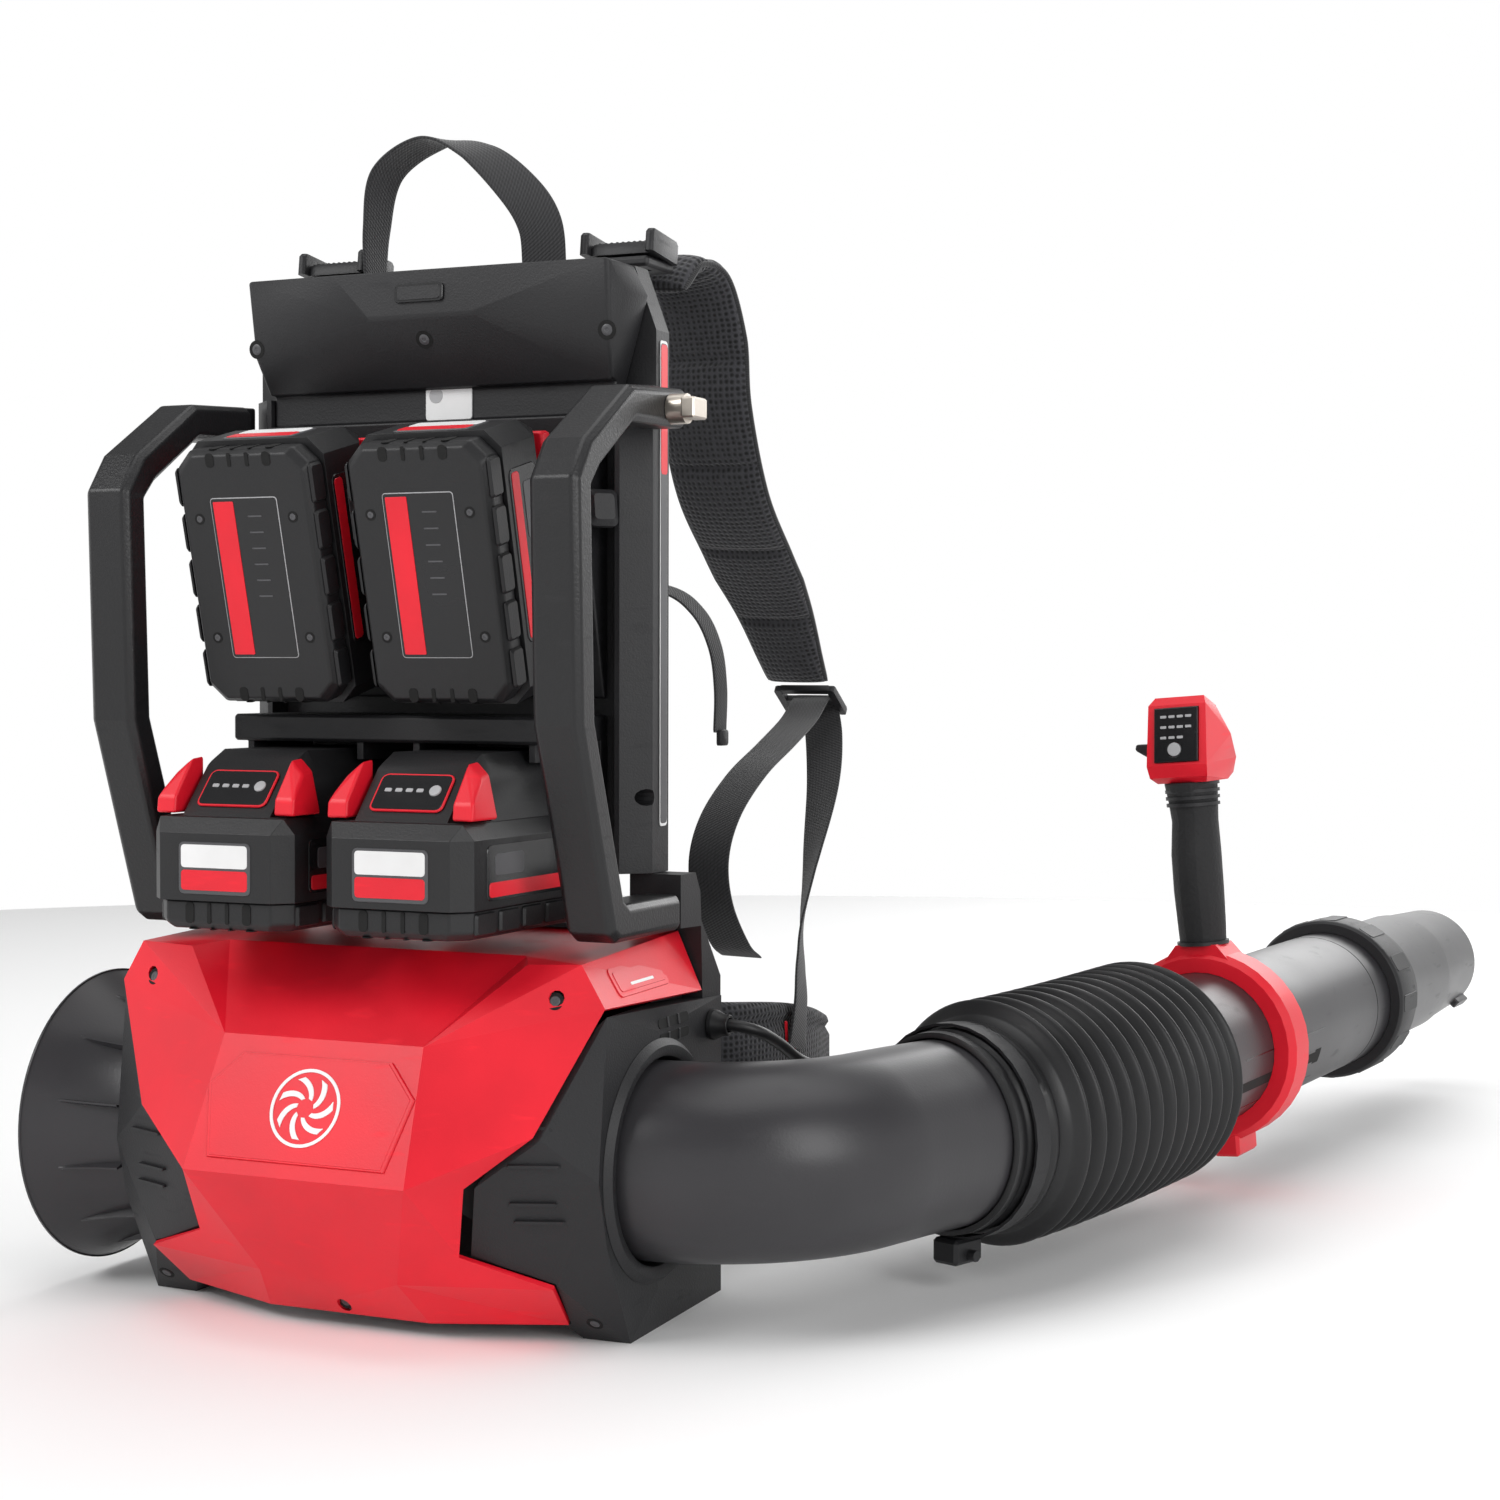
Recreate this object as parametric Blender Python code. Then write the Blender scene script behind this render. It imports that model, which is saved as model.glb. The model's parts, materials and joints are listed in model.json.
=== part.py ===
"""Backpack leaf blower, modelled as an assembly of separate pieces.

World frame: +X is the wearer's right, +Y is forward (away from the wearer's load, towards the
harness), +Z is up.  The feet stand on Z = 0 and the machine is centred on X = 0.
Every dimension below is in millimetres; meshes are written in metres.
"""
import math

import bmesh
import bpy
import numpy as np
from mathutils import Matrix, Vector

MM = 0.001
GAP = 0.3                       # clearance between pieces that touch

# ---- fan and duct (axis along X) ----
DUCT_Y, DUCT_Z = -17.0, 89.0    # duct axis
DUCT_R = 58.0                   # bore of the fan duct
MOUTH_X, MOUTH_R = -202.7, 81.0  # inlet trumpet mouth
HUB_R = 30.0                    # fan hub
BLADES = 9
CAN_R = 34.0                    # motor can
SHAFT_R = 4.0
BEARING_R = 11.0

# ---- air tube ----
ELBOW_R = 52.2                  # outside radius of the elbow pipe
ELBOW_BEND = 100.0              # centre line bend radius
ELBOW_X0, ELBOW_X1 = 122.0, 140.0
CUFF = Vector((256.0, 114.0, 89.0))
HEADING_0, HEADING_1 = math.radians(20.0), math.radians(6.9)
BELLOWS_L = 252.0
BELLOWS_RISE = 6.0
TUBE_PITCH = math.radians(0.7)
TUBE_R, WALL = 50.0, 2.6
RIB_R, RIB_ROOT, RIBS = 69.5, 62.0, 13
RING_Y0, RING_Y1, RING_R = 83.0, 124.0, 64.0
COLLAR_Y0, COLLAR_Y1, COLLAR_R = 343.0, 403.0, 59.0
NOZZLE_STEP, NOZZLE_END, NOZZLE_R, TIP_R = 518.0, 613.0, 46.9, 42.0
GRIP_Y, GRIP_Z0, GRIP_Z1 = 101.0, 63.0, 176.0
GRIP_LEAN = math.radians(-4.5)

# ---- battery packs ----
PACK_W, PACK_L, PACK_H = 86.0, 142.0, 92.0
PACK_X = 52.5                   # centre of each pack from the middle plane
LOWER_PACK = (-127.0, 211.0)    # front face Y, base Z
UPPER_PACK = (-107.5, 462.1)    # label end of the base face, Y and Z
UPPER_LEAN = math.radians(14.0)
BASE_H = 15.0                   # height of the ribbed base shell
BUTTON_TRAVEL = 3.0

# ---- frame ----
FRAME_X, FRAME_Y0, FRAME_Y1 = 126.0, 24.0, 40.0
FRAME_Z0, FRAME_Z1 = 236.0, 563.0
HANDLE_X0, HANDLE_X1 = 120.0, 148.0
SHELF_Z0, SHELF_Z1 = 306.5, 321.0
COVER_T = 3.0                   # wall of the red cover

# ---- harness ----
PAD_W, PAD_T = 58.0, 13.0
WEB_W, WEB_T = 25.0, 2.4

FINISHES = {                    # colour, roughness, metallic
    "red": ((0.62, 0.012, 0.035), 0.42, 0.0),
    "black": ((0.022, 0.022, 0.024), 0.5, 0.0),
    "tube": ((0.06, 0.058, 0.06), 0.4, 0.0),
    "rubber": ((0.018, 0.018, 0.018), 0.75, 0.0),
    "fabric": ((0.012, 0.012, 0.013), 0.9, 0.0),
    "steel": ((0.42, 0.39, 0.35), 0.35, 1.0),
    "aluminium": ((0.6, 0.6, 0.6), 0.4, 1.0),
    "board": ((0.02, 0.15, 0.06), 0.5, 0.0),
    "panel": ((0.03, 0.03, 0.032), 0.25, 0.0),
}


# =============================================================== mesh helpers
def material(finish):
    """Principled material of one of the machine's finishes."""
    mat = bpy.data.materials.get(finish)
    if mat is None:
        colour, rough, metal = FINISHES[finish]
        mat = bpy.data.materials.new(finish)
        mat.use_nodes = True
        shader = mat.node_tree.nodes["Principled BSDF"]
        shader.inputs["Base Color"].default_value = (*colour, 1.0)
        shader.inputs["Roughness"].default_value = rough
        shader.inputs["Metallic"].default_value = metal
    return mat


def piece(name, bm, finish, origin=(0, 0, 0), smooth=30.0):
    """Turn a bmesh in millimetres into a named object whose origin is at the given point."""
    bmesh.ops.translate(bm, verts=bm.verts, vec=-Vector(origin))
    bmesh.ops.scale(bm, verts=bm.verts, vec=(MM, MM, MM))
    mesh = bpy.data.meshes.new(name)
    bm.to_mesh(mesh)
    bm.free()
    mesh.materials.append(material(finish))
    mesh.shade_smooth()
    mesh.set_sharp_from_angle(angle=math.radians(smooth))
    obj = bpy.data.objects.new(name, mesh)
    obj.location = Vector(origin) * MM
    bpy.context.scene.collection.objects.link(obj)
    return obj


def skin(points, rings, sides, closed=False):
    """Closed body from rings of points: neighbours are joined, the end rings are capped."""
    bm = bmesh.new()
    verts = [bm.verts.new(p) for p in points]
    last = rings if closed else rings - 1
    for i in range(last):
        for j in range(sides):
            a, b = i * sides, ((i + 1) % rings) * sides
            k = (j + 1) % sides
            bm.faces.new((verts[a + j], verts[a + k], verts[b + k], verts[b + j]))
    if not closed:
        bm.faces.new(verts[:sides][::-1])
        bm.faces.new(verts[-sides:])
    bmesh.ops.recalc_face_normals(bm, faces=bm.faces)
    return bm


def block(x0, x1, y0, y1, z0, z1, bevel=0.0):
    """Box between two corners, its edges bevelled by one flat if a width is given."""
    bm = bmesh.new()
    bmesh.ops.create_cube(bm, size=1.0)
    bmesh.ops.scale(bm, verts=bm.verts, vec=(x1 - x0, y1 - y0, z1 - z0))
    bmesh.ops.translate(bm, verts=bm.verts, vec=((x0 + x1) / 2, (y0 + y1) / 2, (z0 + z1) / 2))
    if bevel:
        bmesh.ops.bevel(bm, geom=bm.edges[:], offset=bevel, segments=1, affect="EDGES")
    return bm


def prism(outline, x0, x1):
    """Outline of (y, z) points carried along X."""
    points = [(x, y, z) for x in (x0, x1) for y, z in outline]
    return skin(points, 2, len(outline))


def hull(points):
    """Convex hull of points."""
    bm = bmesh.new()
    for p in points:
        bm.verts.new(p)
    found = bmesh.ops.convex_hull(bm, input=bm.verts)
    spare = {g for g in found["geom_interior"] + found["geom_unused"]
             if isinstance(g, bmesh.types.BMVert)}
    bmesh.ops.delete(bm, geom=list(spare), context="VERTS")
    bmesh.ops.dissolve_limit(bm, angle_limit=math.radians(0.5), verts=bm.verts, edges=bm.edges)
    bmesh.ops.recalc_face_normals(bm, faces=bm.faces)
    return bm


def mirrored(points):
    """The points and their mirror images in the middle plane."""
    return list(points) + [(-x, y, z) for x, y, z in points]


def turned(profile, steps, frame=None):
    """Closed (along, radius) outline turned about its axis; the axis is local Y."""
    ring = [2 * math.pi * k / steps for k in range(steps)]
    points = [(r * math.cos(a), h, r * math.sin(a)) for a in ring for h, r in profile]
    bm = skin(points, steps, len(profile), closed=True)
    return placed(bm, frame)


def rod(y0, y1, radius, steps, frame=None):
    """Solid round bar along local Y."""
    ring = [2 * math.pi * k / steps for k in range(steps)]
    points = [(radius * math.cos(a), y, radius * math.sin(a)) for y in (y0, y1) for a in ring]
    return placed(skin(points, 2, steps), frame)


def placed(bm, frame):
    """Move a bmesh by a matrix, when one is given."""
    if frame is not None:
        bmesh.ops.transform(bm, matrix=frame, verts=bm.verts)
    return bm


def boolean(first, second, operation):
    """Union or difference of two closed bodies."""
    parts = []
    for bm in (first, second):
        mesh = bpy.data.meshes.new("work")
        bm.to_mesh(mesh)
        bm.free()
        obj = bpy.data.objects.new("work", mesh)
        bpy.context.scene.collection.objects.link(obj)
        parts.append(obj)
    mod = parts[0].modifiers.new("boolean", "BOOLEAN")
    mod.operation = operation
    mod.object = parts[1]
    graph = bpy.context.evaluated_depsgraph_get()
    result = bmesh.new()
    result.from_object(parts[0], graph)
    for obj in parts:
        mesh = obj.data
        bpy.data.objects.remove(obj)
        bpy.data.meshes.remove(mesh)
    bmesh.ops.remove_doubles(result, verts=result.verts, dist=0.002)
    bmesh.ops.dissolve_limit(result, angle_limit=math.radians(0.2), verts=result.verts,
                             edges=result.edges)
    return result


def cut(body, *tools):
    for tool in tools:
        body = boolean(body, tool, "DIFFERENCE")
    return body


def joined(body, *others):
    for other in others:
        body = boolean(body, other, "UNION")
    return body


def curve_through(points, count):
    """Evenly spaced points on a smooth curve through hand-placed points."""
    p = np.array(points, float)
    ends = np.vstack([2 * p[0] - p[1], p, 2 * p[-1] - p[-2]])
    fine = []
    for i in range(len(p) - 1):
        a, b, c, d = ends[i:i + 4]
        for t in np.linspace(0, 1, 24, endpoint=False):
            fine.append(0.5 * (2 * b + (c - a) * t + (2 * a - 5 * b + 4 * c - d) * t ** 2
                               + (3 * b - a - 3 * c + d) * t ** 3))
    fine = np.array(fine + [p[-1]])
    run = np.concatenate([[0], np.cumsum(np.linalg.norm(np.diff(fine, axis=0), axis=1))])
    at = np.linspace(0, run[-1], count)
    return np.stack([np.interp(at, run, fine[:, k]) for k in range(3)], 1)


def strap(route, widths, thickness, side, count=14):
    """Flat band along a route; side lists the directions of its width from start to end."""
    path = curve_through(route, count)
    along = np.gradient(path, axis=0)
    along /= np.linalg.norm(along, axis=1)[:, None]
    t = np.linspace(0, 1, count)
    side = np.array(side, float)
    keys = np.linspace(0, 1, len(side))
    across = np.stack([np.interp(t, keys, side[:, k]) for k in range(3)], 1)
    across -= (across * along).sum(1)[:, None] * along
    across /= np.linalg.norm(across, axis=1)[:, None]
    out = np.cross(along, across)
    width = np.interp(t, np.linspace(0, 1, len(widths)), widths)
    points = []
    for i in range(count):
        w, h = across[i] * width[i] / 2, out[i] * thickness / 2
        points += [path[i] - w - h, path[i] + w - h, path[i] + w + h, path[i] - w + h]
    return skin([tuple(p) for p in points], count, 4)


def cable(name, route, radius, count, finish):
    """Round cable: a poly curve with a bevel, read from a smooth curve through its route."""
    curve = bpy.data.curves.new(name, "CURVE")
    curve.dimensions = "3D"
    curve.bevel_depth = radius * MM
    curve.bevel_resolution = 2
    curve.use_fill_caps = True
    curve.render_resolution_u = 0
    spline = curve.splines.new("POLY")
    path = curve_through(route, count)
    spline.points.add(len(path) - 1)
    for point, place in zip(spline.points, path):
        point.co = (*(place * MM), 1.0)
    curve.materials.append(material(finish))
    obj = bpy.data.objects.new(name, curve)
    bpy.context.scene.collection.objects.link(obj)


# Local frames: turned pieces are made along local Y
DUCT = Matrix.Translation((0, DUCT_Y, DUCT_Z)) @ Matrix.Rotation(-math.pi / 2, 4, "Z")


def tube_frame():
    """Frame at the far end of the bellows, local Y along the straight tube."""
    mean = (HEADING_0 + HEADING_1) / 2
    run = math.sqrt(BELLOWS_L ** 2 - BELLOWS_RISE ** 2)
    end = CUFF + Vector((math.sin(mean) * run, math.cos(mean) * run, BELLOWS_RISE))
    return (Matrix.Translation(end) @ Matrix.Rotation(-HEADING_1, 4, "Z")
            @ Matrix.Rotation(TUBE_PITCH, 4, "X"))


TUBE = tube_frame()
HANDLE = TUBE @ Matrix.Rotation(GRIP_LEAN, 4, "Y")


# =============================================================== red cover and housing
COVER = {                       # right half of the cover's facets, outside corners
    "valley_mid": (0, -107.8, 155.5), "valley": (60.2, -107.8, 155.5),
    "rise_mid": (0, -58, 198), "rise": (92, -58, 198), "ridge": (103, -77, 196),
    "shoulder": (134.3, -78, 197.5), "rear": (130, 44, 203), "rear_mid": (0, 44, 203),
    "side": (147.5, -78, 175.8), "side_rear": (143, 47, 171), "flank": (118.7, -100.8, 112.5),
    "crest_mid": (0, -136.9, 88.5), "crest": (65.9, -136.9, 88.5), "edge": (85, -111, 86),
    "low_mid": (0, -103.7, 31.8), "low": (41.8, -103.7, 31.8), "notch": (78.7, -104.6, 49.6),
    "toe": (122.5, -86.5, 33.5), "heel": (117.8, -60.2, 9.1),
    "keel_mid": (0, -83, 7.9), "keel": (49.1, -83, 7.9),
}
COVER_FACES = (
    "valley_mid valley rise rise_mid", "valley ridge rise", "valley shoulder ridge",
    "rise_mid rise rear rear_mid", "rise ridge shoulder", "rise shoulder rear",
    "shoulder side side_rear rear", "valley side shoulder", "valley flank side",
    "valley_mid crest_mid crest valley", "crest flank valley", "crest edge flank",
    "crest_mid low_mid low crest", "crest low notch", "crest notch edge",
    "low_mid keel_mid keel low", "low keel heel", "low heel toe", "low toe notch",
)


def cover_skin(outward, thickness):
    """Shell of the red cover: its facets moved out by an amount, then given a wall inwards."""
    corners = {}
    bm = bmesh.new()
    for mirror in (1, -1):
        for names in COVER_FACES:
            loop = []
            for name in names.split():
                x, y, z = COVER[name]
                key = (name, mirror if x else 0)
                if key not in corners:
                    corners[key] = bm.verts.new((x * mirror, y, z))
                loop.append(corners[key])
            bm.faces.new(loop)
    bmesh.ops.recalc_face_normals(bm, faces=bm.faces)
    middle = Vector((0, -20, 100))
    grow = 1 + outward / 100
    for v in bm.verts:
        v.co = middle + (v.co - middle) * grow
    if sum(f.normal.dot(f.calc_center_median() - middle) for f in bm.faces) < 0:
        bmesh.ops.reverse_faces(bm, faces=bm.faces)
    bm.normal_update()
    bmesh.ops.solidify(bm, geom=bm.faces[:], thickness=thickness)
    bmesh.ops.recalc_face_normals(bm, faces=bm.faces)
    return bm


def rear_cover():
    holes = [rod(-20, 20, 4.0, 10, Matrix.Translation((x, y, z)))
             for x, y, z in ((123.3, -87.9, 180.8), (-123.3, -87.9, 180.8), (0, -90.3, 13.6))]
    piece("rear_cover", cut(cover_skin(0, COVER_T), *holes), "red")


def cover_core():
    """Solid that fills the space behind the cover, well clear of its wall."""
    middle = Vector((0, -20, 100))
    corners = [tuple(middle + (Vector(COVER[k]) - middle) * 0.8)
               for k in ("crest", "flank", "side", "toe", "heel", "low", "keel", "notch")]
    corners += [(118, 60, 20), (118, 60, 150), (118, -60, 150)]
    return hull(mirrored(corners))


def side_bracket(sign):
    """Black corner moulding that carries the duct mouth, one foot and the frame's lower end."""
    ring = [(147.5, DUCT_Y + 68 * math.cos(a), DUCT_Z + 68 * math.sin(a))
            for a in np.radians(range(90, 271, 30))]
    corners = [(121.5, -98, 111), (89, -107, 86), (83, -100, 50.5), (123.5, -83, 34.5),
               (147.5, -76, 171.5), (142, 45, 163), (106, -54, 12.5), (147.5, -49, 0),
               (121, -50, 0), (118, 72, 0), (143.6, 72, 0), (143, 73, 165), (118, 73, 165),
               (118, -60, 150)] + ring
    bm = hull([(sign * x, y, z) for x, y, z in corners])
    ear = prism([(50, 150), (73, 150), (73, 176), (47.5, 209), (46, 225), (40, FRAME_Z0 - GAP),
                 (21, FRAME_Z0 - GAP), (21, 207), (47, 206)],
                *sorted((sign * 112.0, sign * 142.5)))
    return joined(bm, ear)


def fan_housing():
    """Black housing: the duct, the corner mouldings and the cavity for the electronics."""
    rail = block(-130, 130, 10, 70, 20, 168)
    sole = block(-124, 124, -30, 71, 0, 26)
    cavity = block(-70, 70, 14, 66, 150, 169)
    body = joined(cover_core(), rail, side_bracket(1), side_bracket(-1), sole)
    body = cut(body, cover_skin(1.0, COVER_T + 4.0), rod(-160, 160, DUCT_R, 32, DUCT), cavity)
    piece("fan_housing", body, "black")


def outlet_bezel():
    """Ring that holds the elbow in the right-hand end of the duct."""
    profile = [(123, DUCT_R - GAP), (123, ELBOW_R + GAP), (139, ELBOW_R + GAP),
               (151, ELBOW_R + 2.6), (151, 62), (148, 64), (148, DUCT_R - GAP)]
    piece("outlet_bezel", turned(profile, 32, DUCT), "black")


def inlet():
    """Trumpet with its four gussets, and the guard across its throat."""
    curve = [(t, 57.7 + (MOUTH_R - 57.7) * t ** 1.9) for t in np.linspace(0, 1, 7)]
    outer = [(-130 + (MOUTH_X + 130) * t, r) for t, r in curve]
    inner = [(x, r - 2.6) for x, r in outer][::-1]
    step = [(-148 - GAP, 57.7), (-148 - GAP, 61.5)]
    outer = [(-130, 57.7)] + step + [(x, r + 2.0) for x, r in outer if x < -150]
    cone = turned(outer + inner, 32, DUCT)
    for z in (-45, -15, 15, 45):
        y = -math.sqrt(60.0 ** 2 - z ** 2)
        rib = hull([(x, DUCT_Y + dy, DUCT_Z + z + dz) for dz in (-1.2, 1.2)
                    for x, dy in ((-149, y + 2), (-149, y - 16), (-186, y - 14), (-186, y - 2))])
        cone = joined(cone, rib)
    piece("inlet_cone", cone, "black")

    guard = turned([(-140, 54.5), (-136, 54.5), (-136, 51), (-140, 51)], 24, DUCT)
    for r in (14, 33):
        guard = joined(guard, turned([(-139.5, r + 1.5), (-136.5, r + 1.5), (-136.5, r - 1.5),
                                      (-139.5, r - 1.5)], 20, DUCT))
    for k in range(3):
        bar = block(-1.4, 1.4, -139, -137, -52.5, 52.5)
        guard = joined(guard, placed(bar, DUCT @ Matrix.Rotation(k * math.pi / 3, 4, "Y")))
    piece("inlet_guard", guard, "black")


def fan():
    """Rotor, shaft, two bearings and the motor can with its stator vanes."""
    hub = turned([(-52, 4.3), (-52, 16), (-44, 26), (-34, HUB_R), (-8, HUB_R), (-8, 4.3)], 24, DUCT)
    for k in range(BLADES):
        a0 = 2 * math.pi * k / BLADES
        blade = []
        for r, twist in ((HUB_R - 3, 0.9), (DUCT_R - 2.0, 1.25)):
            for along, lift in ((-15, -1.0), (15, -1.0), (15, 1.0), (-15, 1.0)):
                h = along * math.cos(twist) - lift * math.sin(twist) - 21
                s = along * math.sin(twist) + lift * math.cos(twist)
                blade.append((s, h, math.sqrt(r * r - s * s)))
        hub = joined(hub, placed(hull(blade), DUCT @ Matrix.Rotation(a0, 4, "Y")))
    centre = (-20, DUCT_Y, DUCT_Z)
    piece("fan_rotor", hub, "black", origin=centre)
    piece("drive_shaft", rod(-58, 88, SHAFT_R, 16, DUCT), "steel", origin=centre)
    for name, x in (("bearing_front", 2.0), ("bearing_rear", 72.0)):
        ring = [(x, SHAFT_R + GAP), (x + 9, SHAFT_R + GAP), (x + 9, BEARING_R), (x, BEARING_R)]
        piece(name, turned(ring, 18, DUCT), "steel")
    bore = BEARING_R + GAP
    can = turned([(0, bore), (90, bore), (90, 20), (82, CAN_R), (6, CAN_R), (0, 28)], 24, DUCT)
    for k in range(6):
        vane = hull([(x, h, r) for r in (CAN_R - 3, DUCT_R - GAP - 0.5)
                     for h, x in ((12, -3), (12, -1), (60, 1), (60, 3))])
        can = joined(can, placed(vane, DUCT @ Matrix.Rotation(k * math.pi / 3, 4, "Y")))
    piece("motor_can", can, "aluminium")
    piece("controller_board", block(-62, 62, 18, 62, 152, 164), "board")


# =============================================================== frame, shelf and handles
def frame():
    """Back frame: an open tray, its front cover, and the two battery docks."""
    x = FRAME_X
    outer = [(x, FRAME_Z0), (x, 528), (x - 13, FRAME_Z1)]
    shape = [(px, FRAME_Y0, z) for px, z in outer] + [(px, FRAME_Y1, z) for px, z in outer]
    tray = hull(mirrored(shape))
    wall = 3.0
    hollow = hull(mirrored([(px - wall, y, z) for y in (FRAME_Y0 + wall, FRAME_Y1 + 5)
                            for px, z in ((x, FRAME_Z0 + wall), (x, 527), (x - 13, FRAME_Z1 - wall))]))
    tray = cut(tray, hollow)
    for sign in (1, -1):
        cheek = hull([(sign * px, y, z) for z in (FRAME_Z0, 498)
                      for px, y in ((126, 26), (126, 20), (112, 8), (109, 8), (109, 26))])
        tray = joined(tray, cheek)
    for sign in (1, -1):
        tray = cut(tray, placed(rod(-40, 40, 4.5, 12),
                                Matrix.Translation((sign * 118, 18, 277))
                                @ Matrix.Rotation(math.pi / 2, 4, "Z")))
    piece("frame_shell", tray, "black")

    back = FRAME_Y0 - GAP
    cover = hull(mirrored([
        (113, -8.5, FRAME_Z1), (113, back, FRAME_Z1), (122, back, 546), (118, 5, 546),
        (108.6, 6, 500), (108.6, back, 500), (57, -10, FRAME_Z1), (31.3, -11.5, 537.3),
        (112, -3, 520), (60, 8, 500)]))
    lower = block(-108.6, 108.6, 10.7, back, 482, 505)
    piece("frame_cover", joined(cover, lower), "black")

    lean = math.tan(UPPER_LEAN)
    top, bottom = 480.0, 330.0
    face = 2.1 + GAP
    y_top, y_bottom = face - (top - 411.1) * lean, face - (bottom - 411.1) * lean
    dock = prism([(y_top, top), (back, top), (back, bottom), (min(y_bottom, back - 3), bottom)],
                 -97, 97)
    piece("upper_dock", dock, "black")

    shelf = block(-97, 97, -47, back, SHELF_Z0, SHELF_Z1, 1.5)
    for sign in (1, -1):
        for dx in (-35, 35):
            cx = sign * PACK_X + dx
            shelf = joined(shelf, block(cx - 2, cx + 2, -44, 14, 297, SHELF_Z0 + 2))
    shelf = joined(shelf, block(-97, 97, 16, back, 240, SHELF_Z0 + 4))
    piece("lower_dock", shelf, "black")


def handle(name, sign):
    """Side guard bar: a chamfered bar bent round in a plane, from the frame to the housing."""
    outer = [(18, 495), (-47, 491), (-96, 460), (-110, 440), (-106, 318), (-70, 212), (-62, 207),
             (12, 207)]
    inner = [(12, 226), (-49, 226), (-55, 230), (-87, 320), (-91, 436), (-82, 446), (-43, 472),
             (18, 474)]
    ring = outer + inner
    bar = prism(ring, *sorted((sign * HANDLE_X0, sign * HANDLE_X1)))
    bmesh.ops.bevel(bar, geom=[e for e in bar.edges
                               if abs(e.verts[0].co.x - e.verts[1].co.x) < 0.1],
                    offset=3.5, segments=1, affect="EDGES")
    clear = block(*sorted((sign * 100, sign * (FRAME_X + GAP))), 4, 40, 200, 560)
    bar = cut(bar, clear)
    piece(name, bar, "black")


def hitch_peg():
    """Square-headed steel peg on the right-hand handle, with its round collar."""
    peg = joined(rod(-4, 5.5, 8.0, 16), placed(block(-8.5, 8.5, 5, 13, -5.5, 5.5, 1), None))
    turn = Matrix.Translation((HANDLE_X1 + 4 + GAP, -4, 482)) @ Matrix.Rotation(-math.pi / 2, 4, "Z")
    piece("hitch_peg", placed(peg, turn), "steel")


# =============================================================== battery packs
def pack(name, frame_matrix):
    """Slide-on pack: base shell, case with its crown, and two latch buttons."""
    w, d = PACK_W / 2, PACK_L
    c = 9.0
    foot = [(w - 2 - c, 3), (w - 2, 3 + c), (w - 2, d - 3 - c), (w - 2 - c, d - 3)]
    base = skin([(sx * x, y, z) for z, g in ((0, 3), (4, 0), (BASE_H - GAP, 0))
                 for sx, x, y in [(1, p[0] - g, p[1] + (g if p[1] < 60 else -g)) for p in foot]
                 + [(-1, p[0] - g, p[1] + (g if p[1] < 60 else -g)) for p in foot[::-1]]], 3, 8)
    piece(name + "_base", placed(base, frame_matrix), "black")

    wall = [(w - c, 0), (w, c), (w, d - c), (w - c, d)]
    loop = wall + [(-x, y) for x, y in wall[::-1]]
    case = skin([(x, y, z) for z in (BASE_H, 50) for x, y in loop], 2, 8)
    shoulder = hull(mirrored([(w - c, 0, 50), (w, c, 50), (w, d - c, 50), (w - c, d, 50),
                              (w - 5, 6, 58), (w - 5, d - 4, 58)]))
    crown = hull(mirrored([(38, 8, 56), (38, d - 5, 56), (26, 34, 86), (26, d - 8, PACK_H),
                           (26, 46, PACK_H), (32, d - 8, PACK_H - 8), (32, 46, PACK_H - 10)]))
    case = joined(case, shoulder, crown)
    for sign in (1, -1):
        slot = hull([(sign * x, y, z) for x in (27, 50) for y, z in
                     ((4, 58.5), (36, 58.5), (36, 95), (20, 95))])
        case = cut(case, slot)
    piece(name + "_case", placed(case, frame_matrix), "black")

    for side, sign in (("left", -1), ("right", 1)):
        inner, outer = 27 + BUTTON_TRAVEL + 0.5, 42.5
        button = hull([(sign * x, y, z) for x, y, z in (
            (inner, 8, 59.5), (outer, 8, 59.5), (outer, 34, 59.5), (inner, 34, 59.5),
            (inner, 9, 68), (outer, 9, 68), (outer - 3, 22, 80), (inner, 24, 88),
            (outer - 5, 34, 82), (inner, 34, 89))])
        centre = frame_matrix @ Vector((sign * 36, 20, 70))
        piece(name + "_latch_" + side, placed(button, frame_matrix), "red", origin=centre)


def packs():
    for side, x in (("left", -PACK_X), ("right", PACK_X)):
        pack("pack_lower_" + side, Matrix.Translation((x, *LOWER_PACK)))
        upright = Matrix.Translation((x, *UPPER_PACK)) @ Matrix.Rotation(
            -math.pi / 2 + UPPER_LEAN, 4, "X")
        pack("pack_upper_" + side, upright)


# =============================================================== air tube
def pipe_along(path, radii, inner, steps):
    """Hollow pipe: rings of the outer radii along a path, then back along the inner radii."""
    path = [Vector(p) for p in path]
    rings = []
    for i, p in enumerate(path):
        ahead = path[min(i + 1, len(path) - 1)] - path[max(i - 1, 0)]
        across = ahead.cross(Vector((0, 0, 1))).normalized()
        up = across.cross(ahead).normalized()
        rings.append((p, across, up))
    order = [(i, r) for i, r in enumerate(radii)] + [(i, r) for i, r in enumerate(inner)][::-1]
    angles = [2 * math.pi * k / steps for k in range(steps)]
    points = [tuple(rings[i][0] + rings[i][1] * (r * math.cos(a)) + rings[i][2] * (r * math.sin(a)))
              for i, r in order for a in angles]
    return skin(points, len(order), steps, closed=True)


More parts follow.
